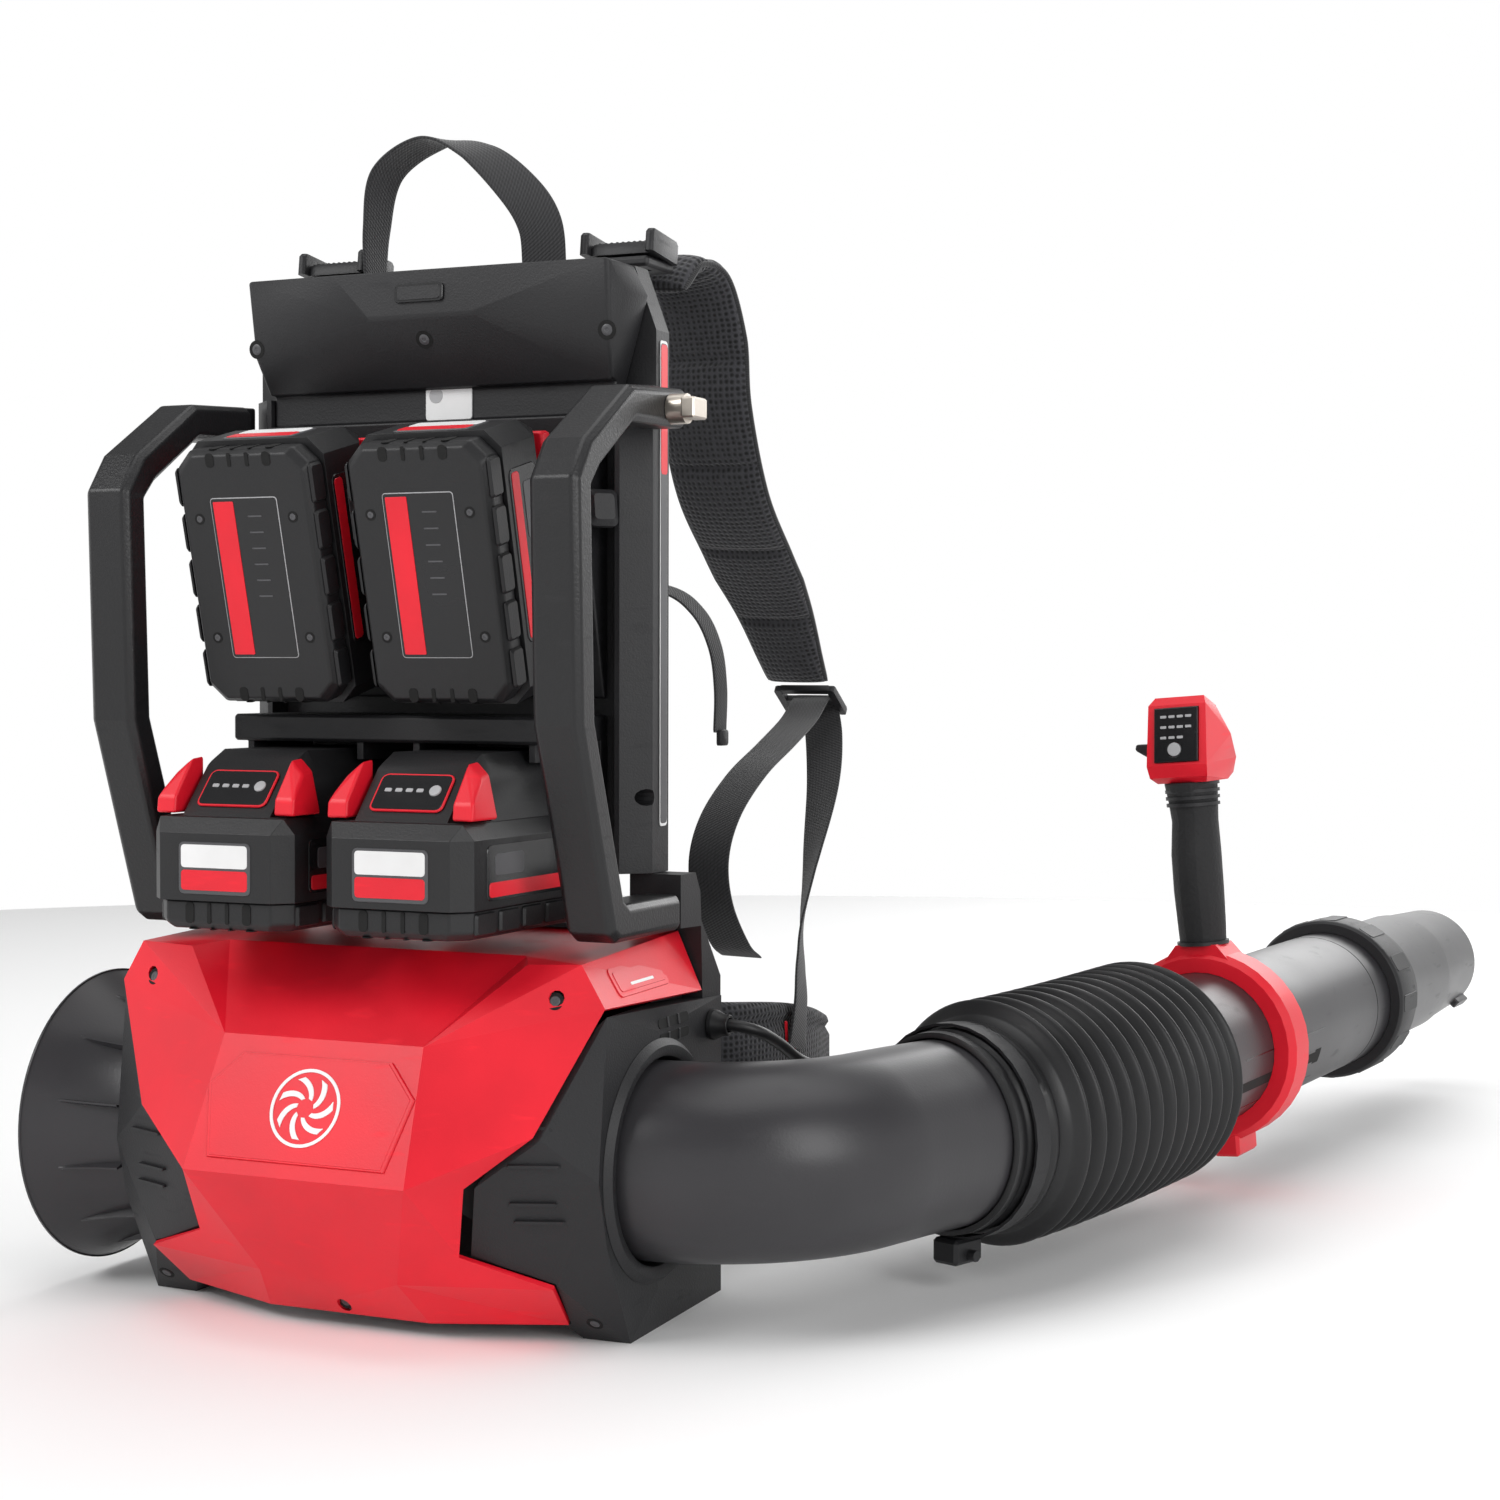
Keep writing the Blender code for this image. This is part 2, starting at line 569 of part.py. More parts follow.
def elbow():
    """Bent pipe from the duct to the bellows cuff, turning in the horizontal plane."""
    turn = math.pi / 2 - HEADING_0
    path = [(ELBOW_X0, DUCT_Y), (ELBOW_X1, DUCT_Y)]
    for k in range(1, 8):
        a = turn * k / 7
        path.append((ELBOW_X1 + ELBOW_BEND * math.sin(a),
                     DUCT_Y + ELBOW_BEND * (1 - math.cos(a))))
    ahead = Vector((math.sin(HEADING_0), math.cos(HEADING_0)))
    last = Vector((CUFF.x, CUFF.y)) + ahead * 30
    path.append(tuple(last))
    path = [(x, y, DUCT_Z) for x, y in path]
    n = len(path)
    piece("elbow", pipe_along(path, [ELBOW_R] * n, [ELBOW_R - WALL] * n, 32), "tube",
          origin=(ELBOW_X1, DUCT_Y, DUCT_Z))


def bellows():
    """Ribbed hose: the cuff, the ribs and the lip, bent from the elbow's heading to the tube's."""
    stations = [(0.0, 55.5), (6.0, 57.5), (34.0, 57.5), (38.0, 64.0)]
    pitch = (BELLOWS_L - 38.0 - 22.0) / RIBS
    for k in range(RIBS):
        s = 38.0 + pitch * (k + 0.5)
        stations += [(s, RIB_R), (s + pitch / 2, RIB_ROOT)]
    stations += [(BELLOWS_L - 16.0, 57.0), (BELLOWS_L, 56.0)]
    path, outer, inner = [], [], []
    for s, r in stations:
        t = s / BELLOWS_L
        head = (HEADING_0 + HEADING_1) / 2
        lag = (HEADING_0 - HEADING_1) / 2
        chord = Vector((math.sin(head), math.cos(head), 0)) * s
        bow = Vector((math.cos(head), -math.sin(head), 0)) * (lag * BELLOWS_L * t * (1 - t))
        path.append(CUFF + chord + bow + Vector((0, 0, BELLOWS_RISE * t * t * (3 - 2 * t))))
        outer.append(r)
        end = ELBOW_R + 1.0 if s < 35 else (TUBE_R + 1.0 if s > BELLOWS_L - 23 else r - 3.0)
        inner.append(end)
    piece("bellows", pipe_along(path, outer, inner, 24), "rubber")


def hose_clamp():
    """Worm clamp round the cuff, with its screw housing underneath."""
    frame = Matrix.Translation(CUFF) @ Matrix.Rotation(-HEADING_0, 4, "Z")
    band = turned([(12, 60.4), (24, 60.4), (24, 58.8), (12, 58.8)], 32, frame)
    box = placed(block(-9, 9, 6, 30, -74, -59.6, 2), frame)
    screw = placed(rod(-14, 14, 3.2, 10), frame @ Matrix.Translation((0, 18, -69))
                   @ Matrix.Rotation(math.pi / 2, 4, "Z"))
    piece("hose_clamp", joined(band, box, screw), "steel")


def tube():
    """Straight tube, twist collar and telescoping nozzle."""
    bore = TUBE_R - WALL
    profile = [(-36, TUBE_R), (372, TUBE_R), (372, bore), (-36, bore)]
    body = turned(profile, 32, TUBE)
    piece("handle_tube", body, "tube", origin=TUBE.translation)

    collar = turned([(COLLAR_Y0, TUBE_R + GAP), (COLLAR_Y0, COLLAR_R - 1), (COLLAR_Y0 + 4, COLLAR_R),
                     (COLLAR_Y0 + 38, COLLAR_R - 0.5), (COLLAR_Y1 - 14, 54.5), (COLLAR_Y1, 53.5),
                     (COLLAR_Y1, NOZZLE_R + GAP), (374, NOZZLE_R + GAP), (374, TUBE_R + GAP)],
                    32, TUBE)
    for k in range(6):
        lug = block(-6, 6, COLLAR_Y0 + 8, COLLAR_Y0 + 36, COLLAR_R - 4, COLLAR_R + 1.2)
        turn = Matrix.Rotation(math.pi * (k / 3 + 0.1), 4, "Y")
        collar = joined(collar, placed(lug, TUBE @ turn))
    piece("twist_collar", collar, "black", origin=TUBE @ Vector((0, COLLAR_Y0, 0)))

    t = 2.2
    nozzle = [(262, NOZZLE_R), (NOZZLE_STEP, NOZZLE_R), (NOZZLE_STEP + 2, NOZZLE_R - 1),
              (NOZZLE_END, TIP_R), (NOZZLE_END, TIP_R - t), (NOZZLE_STEP + 2, NOZZLE_R - 1 - t),
              (NOZZLE_STEP, NOZZLE_R - t), (262, NOZZLE_R - t)]
    tip = turned(nozzle, 32, TUBE)
    lug = placed(block(-4, 4, NOZZLE_END - 34, NOZZLE_END - 4, -TIP_R - 5, -TIP_R + 1),
                 TUBE @ Matrix.Rotation(math.radians(-48), 4, "Y"))
    piece("nozzle", joined(tip, lug), "tube", origin=TUBE @ Vector((0, COLLAR_Y1, 0)))


def control_handle():
    """Clamp ring on the tube with its grip, head, control panel, trigger and levers."""
    inner = TUBE_R + GAP
    ring = turned([(RING_Y0, inner), (RING_Y0, RING_R - 4), (RING_Y0 + 5, RING_R),
                   (RING_Y1 - 12, RING_R), (RING_Y1, RING_R - 6), (RING_Y1, inner)], 36, HANDLE)
    boss = placed(hull([(x, GRIP_Y + y, z) for x, y, z in (
        (27, 16, 52), (27, -16, 52), (-27, -16, 52), (-27, 16, 52),
        (14, 15, 68), (14, -15, 68), (-14, -15, 68), (-14, 15, 68))]), HANDLE)
    boss = cut(boss, rod(RING_Y0 - 5, RING_Y1 + 5, inner + 2, 36, HANDLE))
    feet = [placed(block(x - 9, x + 9, RING_Y0 + 1, RING_Y1 - 4, -72, -56, 2), HANDLE)
            for x in (-12, 12)]
    ear = placed(block(-10, 10, RING_Y0 + 3, RING_Y1 - 6, -72.0, -58, 2), HANDLE)
    ring = joined(ring, boss, ear, *feet)
    piece("handle_ring", ring, "red", origin=TUBE @ Vector((0, RING_Y0, 0)))

    def oval(z, y, a, b, n=16):
        return [(a * math.cos(2 * math.pi * k / n), y + b * math.sin(2 * math.pi * k / n), z)
                for k in range(n)]
    sections = ((68 + GAP, 0, 15, 17), (80, 0, 15.5, 18), (104, -1, 16, 20), (128, -1, 16, 20),
                (150, 1, 15, 17.5), (164, 0, 16, 19), (GRIP_Z1 - GAP, -2, 17, 21))
    points = [p for z, y, a, b in sections for p in oval(z, GRIP_Y + y, a, b)]
    grip = placed(skin(points, len(sections), 16), HANDLE)
    pocket = placed(block(-7.5, 7.5, GRIP_Y + 8, GRIP_Y + 40, 122, 168), HANDLE)
    piece("grip", cut(grip, pocket), "rubber")

    head = placed(hull(mirrored([
        (20, GRIP_Y - 24, 180), (21, GRIP_Y - 26, 188), (20, GRIP_Y - 18, 228),
        (17, GRIP_Y - 12, 233), (15, GRIP_Y + 14, 226), (20, GRIP_Y + 26, 206),
        (19, GRIP_Y + 36, 190), (17, GRIP_Y + 34, 180), (18, GRIP_Y + 20, 176),
        (17, GRIP_Y - 18, 176)])), HANDLE)
    tilt = HANDLE @ Matrix.Translation((0, GRIP_Y - 22.0, 208)) @ Matrix.Rotation(
        math.radians(-11), 4, "X")
    recess = placed(block(-15.5, 15.5, -8, 3, -18.5, 18.5), tilt)
    slot = placed(block(-24, -10, GRIP_Y - 6, GRIP_Y + 12, 186, 206), HANDLE)
    piece("head_shell", cut(head, recess, slot), "red")
    panel = placed(block(-15.2, 15.2, -1.8, 2.7, -18.2, 18.2), tilt)
    hole = placed(rod(-6, 6, 5.0, 16), tilt @ Matrix.Translation((-1, 0, -10)))
    piece("control_panel", cut(panel, hole), "panel")
    button = placed(rod(-2.6, 0.9, 4.6, 16), tilt @ Matrix.Translation((-1, 0, -10)))
    piece("power_button", button, "panel", origin=tilt @ Vector((-1, -2, -10)))

    pivot = HANDLE @ Vector((0, GRIP_Y + 13, 164))
    trigger = placed(hull([(x, GRIP_Y + y, z) for x in (-6.8, 6.8) for y, z in (
        (14, 166), (21, 166), (26, 138), (28, 128), (22, 124), (15, 132))]), HANDLE)
    piece("trigger", trigger, "red", origin=pivot)
    lever_pivot = HANDLE @ Vector((-17, GRIP_Y + 3, 196))
    lever = placed(hull([(x, GRIP_Y + y, z) for x, y, z in (
        (-13, -4, 190), (-13, 8, 190), (-13, 8, 202), (-13, -4, 202),
        (-25, -3, 191), (-25, 7, 191), (-25, 7, 200), (-25, -3, 200),
        (-36, -8, 199), (-36, 2, 199), (-35, -8, 203), (-35, 2, 203))]), HANDLE)
    piece("cruise_lever", lever, "black", origin=lever_pivot)


CABLE_ROUTE = [(146, 56, 151), (152, 56, 151), (159, 56.5, 151), (170, 65, 147), (174, 84, 138),
               (178, 112, 124), (188, 160, 112), (202, 205, 106), (216, 255, 102),
               (229, 305, 100), (242, 355, 100), (254, 400, 104), (260, 430, 112)]


def control_cable():
    """Gland on the housing, and the cable along the left of the elbow and the bellows."""
    frame = Matrix.Translation((0, 56, 151)) @ Matrix.Rotation(-math.pi / 2, 4, "Z")
    gland = turned([(144.8, 4.2), (144.8, 8.5), (147, 8.5), (152, 6.2), (156, 5.8), (156, 4.2)], 16, frame)
    piece("cable_gland", gland, "rubber")
    cable("control_cable", CABLE_ROUTE, 3.3, 56, "rubber")


# =============================================================== harness
PAD_ROUTE = [(92, 84, 560), (95, 100, 574), (99, 122, 568), (100, 138, 536), (100, 144, 498),
             (100, 168, 450), (100, 206, 415), (101, 244, 381), (103, 266, 352), (104, 276, 339)]
# one webbing: up from the belt, round the buckle's bar, and down again as the loose tail
STRAP_ROUTE = [(153, 158, 124), (153, 162, 140), (152, 167, 154), (147.5, 178, 172), (141, 196, 196),
               (135, 226, 232), (127, 262, 272), (118, 286, 300), (111, 297, 318),
               (108, 296, 328), (109, 284, 326), (113, 255, 314), (119, 205, 300),
               (122, 155, 284), (122, 118, 262), (121, 104, 238), (120, 112, 212),
               (118, 140, 186), (116, 162, 176)]
STRAP_SIDE = [(0.0, -1, 0), (0.5, -0.8, 0), (1, -0.1, 0), (1, 0, 0), (1, 0, 0), (1, 0, 0)]


def mirror_route(route, sign):
    return [(sign * x, y, z) for x, y, z in route]


def harness():
    """Back pad, shoulder pads with buckles, belt, webbing and the carrying loop."""
    back = hull(mirrored([(x, y, z) for x, y, z in (
        (100, FRAME_Y1 + GAP, 250), (100, FRAME_Y1 + GAP, 545), (90, 62, 255), (90, 62, 540),
        (60, 70, 265), (60, 70, 530))]))
    piece("back_pad", back, "fabric")
    for side, sign in (("left", -1), ("right", 1)):
        across = ((sign, 0, 0), (sign, -0.12, 0))
        pad = strap(mirror_route(PAD_ROUTE, sign), (50, PAD_W, PAD_W, PAD_W, 40), PAD_T, across, 16)
        piece("shoulder_pad_" + side, pad, "fabric")
        buckle = block(sign * 92 - 19, sign * 92 + 19, 44, 78, 566, 572, 1.5)
        window = block(sign * 92 - 13, sign * 92 + 13, 56, 62, 560, 580)
        piece("top_buckle_" + side, cut(buckle, window), "black")
        web = strap(mirror_route(STRAP_ROUTE, sign), (WEB_W, WEB_W), WEB_T,
                    [(sign * x, y, z) for x, y, z in STRAP_SIDE], 72)
        piece("lower_strap_" + side, web, "fabric")

    belt = []
    route = curve_through([(-136, 236, 0), (-142, 190, 0), (-140, 130, 0), (-118, 92, 0),
                           (-60, 84, 0), (60, 84, 0), (118, 92, 0), (140, 130, 0), (142, 190, 0),
                           (136, 236, 0)], 29)
    for i, (x, y, _) in enumerate(route):
        ends = abs(2 * i / (len(route) - 1) - 1)
        top, low = 160 - 26 * ends ** 3, 66 + 6 * ends ** 3
        step = route[min(i + 1, 28)] - route[max(i - 1, 0)]
        out = np.array((step[1], -step[0])) / np.hypot(*step[:2])
        for z, t in ((low, -6), (low, 6), (top, 6), (top, -6)):
            belt.append((x + out[0] * t, y + out[1] * t, z))
    piece("hip_belt", skin(belt, len(route), 4), "fabric")

    loop = strap([(-55, 32, 564), (-54, 32, 594), (-46, 31, 625), (-16, 30, 640), (12, 30, 633),
                  (38, 30, 611), (52, 30, 590), (55, 30, 564)], (22, WEB_W), WEB_T,
                 ((0, 1, 0), (1, 0.2, 0)), 20)
    piece("carry_loop", loop, "fabric")
    chest = strap([(-66, 232, 398), (-20, 238, 402), (28, 240, 396), (50, 241, 382),
                   (62, 241, 360), (66, 241, 334), (66, 240, 306)], (20, 20), WEB_T,
                  ((0, 0.9, 0.3), (0, 1, 0.1)), 16)
    piece("chest_strap", chest, "fabric")


def main():
    for obj in list(bpy.data.objects):
        bpy.data.objects.remove(obj)
    rear_cover()
    fan_housing()
    outlet_bezel()
    inlet()
    fan()
    frame()
    handle("handle_left", -1)
    handle("handle_right", 1)
    hitch_peg()
    packs()
    elbow()
    bellows()
    hose_clamp()
    tube()
    control_handle()
    control_cable()
    harness()


main()
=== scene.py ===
"""Backpack leaf blower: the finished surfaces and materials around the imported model.

Lengths are in metres and angles in radians.  +X is the wearer's right, +Y the way the wearer
faces, +Z up.
"""
import json
import math

import bmesh
import bpy
import numpy as np
from mathutils import Matrix, Vector
from mathutils.bvhtree import BVHTree

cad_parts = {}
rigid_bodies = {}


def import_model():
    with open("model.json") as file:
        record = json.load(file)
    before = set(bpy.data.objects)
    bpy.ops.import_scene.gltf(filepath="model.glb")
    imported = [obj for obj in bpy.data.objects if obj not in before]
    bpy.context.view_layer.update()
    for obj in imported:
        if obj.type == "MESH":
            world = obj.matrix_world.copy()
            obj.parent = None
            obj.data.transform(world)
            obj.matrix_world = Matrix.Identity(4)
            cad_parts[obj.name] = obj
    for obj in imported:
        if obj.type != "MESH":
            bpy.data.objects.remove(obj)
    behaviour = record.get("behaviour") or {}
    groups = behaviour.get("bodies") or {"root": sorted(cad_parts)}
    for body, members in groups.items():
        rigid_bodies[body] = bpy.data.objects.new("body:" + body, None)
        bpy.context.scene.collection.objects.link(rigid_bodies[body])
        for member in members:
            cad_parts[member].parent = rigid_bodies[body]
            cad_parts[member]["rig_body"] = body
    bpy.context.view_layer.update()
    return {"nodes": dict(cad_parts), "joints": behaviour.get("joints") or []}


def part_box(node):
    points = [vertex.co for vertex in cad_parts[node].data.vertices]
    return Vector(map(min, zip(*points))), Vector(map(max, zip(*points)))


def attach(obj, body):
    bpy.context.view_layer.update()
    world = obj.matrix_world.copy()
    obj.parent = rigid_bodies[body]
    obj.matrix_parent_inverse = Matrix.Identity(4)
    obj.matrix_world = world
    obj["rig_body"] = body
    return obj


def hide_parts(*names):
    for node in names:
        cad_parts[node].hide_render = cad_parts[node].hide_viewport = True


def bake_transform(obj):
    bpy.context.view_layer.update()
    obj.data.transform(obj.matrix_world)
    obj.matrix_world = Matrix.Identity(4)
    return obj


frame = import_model()
joints = {j["name"]: j for j in frame["joints"]}
MM = 0.001

# ---- driving dimensions ----
DUCT = np.array(joints["fan_spin"]["pos_m"])
ELBOW_R, ELBOW_BEND, PIPE_WALL = 0.0522, 0.100, 0.0026
ELBOW_X0, ELBOW_X1 = 0.122, joints["elbow_swivel"]["pos_m"][0]
CUFF = np.array((0.256, 0.114, DUCT[2]))
HEADING_0, HEADING_1 = math.radians(20.0), math.radians(6.9)
BELLOWS_L, BELLOWS_RISE, RIBS = 0.252, 0.006, 13
RIB_START, RIB_END = 0.038, 0.230
TUBE_R, COLLAR_START = 0.050, 0.343
GRIP_LEAN = math.radians(-4.5)
UPPER_LEAN = math.radians(14.0)
PACK_X = 0.0525                 # centre of each pack from the middle plane
LOWER_PACK = (-0.127, 0.211)    # Y and Z of a lower pack's front edge
UPPER_PACK = (-0.1075, 0.4621)  # Y and Z of an upper pack's label end
WEB = 0.025                     # width of the webbing
QUILT_PITCH = 0.062             # between the cross seams of a shoulder pad
SEAM = 0.003                    # half width of one of them
CAMERA_PLACE = (0.7207, -1.2049, 0.3476)
CAMERA_TURN = (math.radians(90 - 1.89), math.radians(-0.156), math.radians(23.695))
CAMERA_LENS = 60.76             # millimetres
PACKS = {
    "pack_lower_left": Matrix.Translation((-PACK_X, *LOWER_PACK)),
    "pack_lower_right": Matrix.Translation((PACK_X, *LOWER_PACK)),
}
for side, x in (("left", -PACK_X), ("right", PACK_X)):
    PACKS["pack_upper_" + side] = (Matrix.Translation((x, *UPPER_PACK))
                                   @ Matrix.Rotation(-math.pi / 2 + UPPER_LEAN, 4, "X"))


# =============================================================== camera and light
def camera():
    """Three-quarter view from behind, on the tube side."""
    data = bpy.data.cameras.new("camera")
    data.lens = CAMERA_LENS
    obj = bpy.data.objects.new("camera", data)
    obj.location = CAMERA_PLACE
    obj.rotation_euler = CAMERA_TURN
    bpy.context.scene.collection.objects.link(obj)
    bpy.context.scene.camera = obj


def area_light(name, place, target, size, power):
    data = bpy.data.lights.new(name, "AREA")
    data.shape = "RECTANGLE"
    data.size, data.size_y = size
    data.energy = power
    obj = bpy.data.objects.new(name, data)
    obj.location = place
    obj.rotation_euler = (Vector(target) - Vector(place)).to_track_quat("-Z", "Y").to_euler()
    bpy.context.scene.collection.objects.link(obj)


def studio():
    """Soft light from above and both sides, on a pale floor."""
    area_light("key", (-1.5, -1.9, 2.2), (0.1, 0.1, 0.25), (1.6, 1.2), 48)
    area_light("fill", (2.3, -1.0, 1.3), (0.2, 0.2, 0.2), (0.9, 1.6), 26)
    area_light("top", (0.2, 0.4, 2.6), (0.1, 0.2, 0.2), (2.2, 2.2), 30)
    area_light("rim", (0.6, 2.6, 1.3), (0.1, 0.2, 0.3), (2.0, 1.0), 26)
    world = bpy.data.worlds.new("studio")
    world.use_nodes = True
    tree = world.node_tree
    at = tree.nodes.new("ShaderNodeTexCoord")
    split = tree.nodes.new("ShaderNodeSeparateXYZ")
    tree.links.new(at.outputs["Generated"], split.inputs[0])
    glow = tree.nodes.new("ShaderNodeMapRange")
    for key, value in (("From Min", 0.28), ("From Max", 0.55), ("To Min", 1.0), ("To Max", 0.22)):
        glow.inputs[key].default_value = value
    tree.links.new(split.outputs["Z"], glow.inputs["Value"])
    tree.links.new(glow.outputs["Result"], tree.nodes["Background"].inputs["Strength"])
    tree.nodes["Background"].inputs["Color"].default_value = (1, 1, 1, 1)
    bpy.context.scene.world = world
    bpy.context.scene.view_settings.view_transform = "Standard"


# =============================================================== shader helper
class Socket:
    """A shader value; arithmetic on it adds Math nodes."""

    def __init__(self, finish, out):
        self.finish, self.out = finish, out

    def _math(self, operation, first, second=0.0):
        return self.finish.node("ShaderNodeMath", {"operation": operation}, {0: first, 1: second})

    def __add__(self, other):
        return self._math("ADD", self, other)

    def __radd__(self, other):
        return self._math("ADD", other, self)

    def __sub__(self, other):
        return self._math("SUBTRACT", self, other)

    def __rsub__(self, other):
        return self._math("SUBTRACT", other, self)

    def __mul__(self, other):
        return self._math("MULTIPLY", self, other)

    def __rmul__(self, other):
        return self._math("MULTIPLY", other, self)

    def wave(self):
        return self._math("SINE", self)


class Finish:
    """A Principled material and the nodes that feed it."""

    def __init__(self, name, rough=0.5, metallic=0.0):
        self.material = bpy.data.materials.new(name)
        self.material.use_nodes = True
        self.tree = self.material.node_tree
        self.shader = self.tree.nodes["Principled BSDF"]
        self.shader.inputs["Roughness"].default_value = rough
        self.shader.inputs["Metallic"].default_value = metallic
        self.shader.inputs["Specular IOR Level"].default_value = 0.5 if metallic else 0.38

    def node(self, kind, settings, inputs, output=0):
        made = self.tree.nodes.new(kind)
        for key, value in settings.items():
            setattr(made, key, value)
        for key, value in inputs.items():
            self.put(made.inputs[key], value)
        return Socket(self, made.outputs[output])

    def put(self, socket, value):
        if isinstance(value, Socket):
            self.tree.links.new(value.out, socket)
        else:
            socket.default_value = value

    def place(self):
        return self.node("ShaderNodeTexCoord", {}, {}, "Object")

    def noise(self, scale, detail=3.0, stretch=None):
        at = self.place()
        if stretch:
            at = self.node("ShaderNodeMapping", {}, {"Vector": at, "Scale": stretch})
        return self.node("ShaderNodeTexNoise", {}, {"Vector": at, "Scale": scale,
                                                    "Detail": detail})

    def ramp(self, value, low, high):
        return self.node("ShaderNodeMapRange", {"clamp": True},
                         {"Value": value, "From Min": low, "From Max": high})

    def mixed(self, factor, first, second):
        return self.node("ShaderNodeMix", {"data_type": "RGBA"},
                         {0: factor, 6: (*first, 1), 7: (*second, 1)}, 2)

    def bump(self, height, distance, strength=1.0):
        normal = self.node("ShaderNodeBump", {}, {"Height": height, "Distance": distance,
                                                  "Strength": strength})
        self.put(self.shader.inputs["Normal"], normal)


def shade(colour, factor):
    return tuple(min(1.0, c * factor) for c in colour)


def moulded(name, colour, rough, grain=0.00012, scale=900, marks=0.25):
    """Moulded plastic: fine spark grain, cloudy sheen, and a few rubbed streaks."""
    f = Finish(name)
    cloud = f.noise(14, 5)
    streak = f.ramp(f.noise(34, 6, (1, 1, 5)), 0.62, 0.74) * marks
    f.put(f.shader.inputs["Base Color"],
          f.mixed(f.ramp(cloud, 0.3, 0.7) * 0.6 + streak, shade(colour, 0.9), shade(colour, 1.25)))
    f.put(f.shader.inputs["Roughness"], cloud * 0.14 + (rough - 0.07) + streak * 0.3)
    f.bump(f.noise(scale, 2), grain)
    return f.material


def woven(name, colour, pitch, depth, crest_highlight=2.2, tilt=0.0):
    """Webbing: diagonal ribs from the piece's own map, u across and v along in metres, with painted
    shade in the grooves and a painted highlight on the crests.
    """
    f = Finish(name, 0.85)
    uv = f.node("ShaderNodeUVMap", {"uv_map": "cloth"}, {})
    u = f.node("ShaderNodeSeparateXYZ", {}, {"Vector": uv}, "X")
    v = f.node("ShaderNodeSeparateXYZ", {}, {"Vector": uv}, "Y")
    turns = 2 * math.pi / pitch
    rib = ((v * turns + u * (turns * tilt)).wave() + 1.0) * 0.5
    cross = ((u * turns).wave() + 1.0) * 0.5
    weave = rib * 0.65 + cross * 0.35
    # painted light: the weave colour is darkest in the grooves as painted shade and lightest on the
    # crests as a painted highlight; the bump below is the real relief
    f.put(f.shader.inputs["Base Color"], f.mixed(weave, colour, shade(colour, crest_highlight)))
    f.bump(weave, depth)
    f.shader.inputs["Sheen Weight"].default_value = 0.25
    return f.material


def spacer_mesh(name, colour, pitch, depth):
    """Open knitted mesh: a round hole of painted shade in each cell of a slightly uneven grid."""
    f = Finish(name, 0.9)
    uv = f.node("ShaderNodeUVMap", {"uv_map": "cloth"}, {})
    cells = f.node("ShaderNodeTexVoronoi", {"feature": "F1"},
                   {"Vector": uv, "Scale": 1 / pitch, "Randomness": 0.22})
    hole = f.ramp(cells, 0.18, 0.5)
    # painted shade: each hole is painted a quarter of the colour, standing for the shade inside it,
    # and the knit between the holes 2.6 times the colour
    f.put(f.shader.inputs["Base Color"], f.mixed(hole, shade(colour, 0.25), shade(colour, 2.6)))
    f.bump(hole, depth)
    f.shader.inputs["Sheen Weight"].default_value = 0.2
    return f.material


def metal(name, colour, rough):
    f = Finish(name, rough, 1.0)
    brushed = f.noise(220, 3, (1, 14, 1))
    f.put(f.shader.inputs["Base Color"], f.mixed(brushed, shade(colour, 0.8), colour))
    f.put(f.shader.inputs["Roughness"], brushed * 0.25 + (rough - 0.1))
    f.bump(brushed, 0.00004)
    return f.material


RED = (0.70, 0.008, 0.022)
BLACK = (0.013, 0.013, 0.0145)
M = {
    "red": moulded("red_plastic", RED, 0.40, 0.00006, 1200, 0.30),
    "black": moulded("black_plastic", BLACK, 0.50, 0.00014, 900, 0.4),
    "case": moulded("pack_plastic", (0.010, 0.010, 0.011), 0.46, 0.0001, 800, 0.35),
    "bar": moulded("bar_plastic", (0.010, 0.010, 0.011), 0.38, 0.00016, 700, 0.6),
    "tube": moulded("tube_plastic", (0.030, 0.029, 0.032), 0.34, 0.00005, 700, 0.28),
    "hose": moulded("hose_rubber", (0.012, 0.012, 0.013), 0.42, 0.00006, 500, 0.3),
    "grip": moulded("grip_rubber", (0.014, 0.014, 0.015), 0.72, 0.0005, 420, 0.2),
    "gloss": moulded("gloss_panel", (0.010, 0.010, 0.011), 0.22, 0.00002, 600, 0.1),
    "white": moulded("label_white", (0.74, 0.74, 0.74), 0.4, 0.00002, 500, 0.0),
    "grey": moulded("label_grey", (0.07, 0.07, 0.075), 0.4, 0.00002, 500, 0.0),
    "lens": moulded("lens_grey", (0.38, 0.38, 0.39), 0.3, 0.00002, 500, 0.0),
    "void": moulded("deep_shadow", (0.0035, 0.0035, 0.0035), 0.8, 0.00002, 500, 0.0),
    "board": moulded("board_green", (0.02, 0.15, 0.06), 0.5, 0.00005, 600, 0.1),
    "steel": metal("steel", (0.56, 0.51, 0.45), 0.34),
    "alloy": metal("alloy", (0.6, 0.6, 0.6), 0.42),
    "webbing": woven("webbing", (0.012, 0.012, 0.013), 0.0022, 0.0003, 2.4, 0.8),
    "mesh": spacer_mesh("spacer_mesh", (0.016, 0.016, 0.018), 0.0034, 0.0006),
    "canvas": woven("canvas", (0.014, 0.014, 0.015), 0.0014, 0.0002, 1.9, 0.0),
}


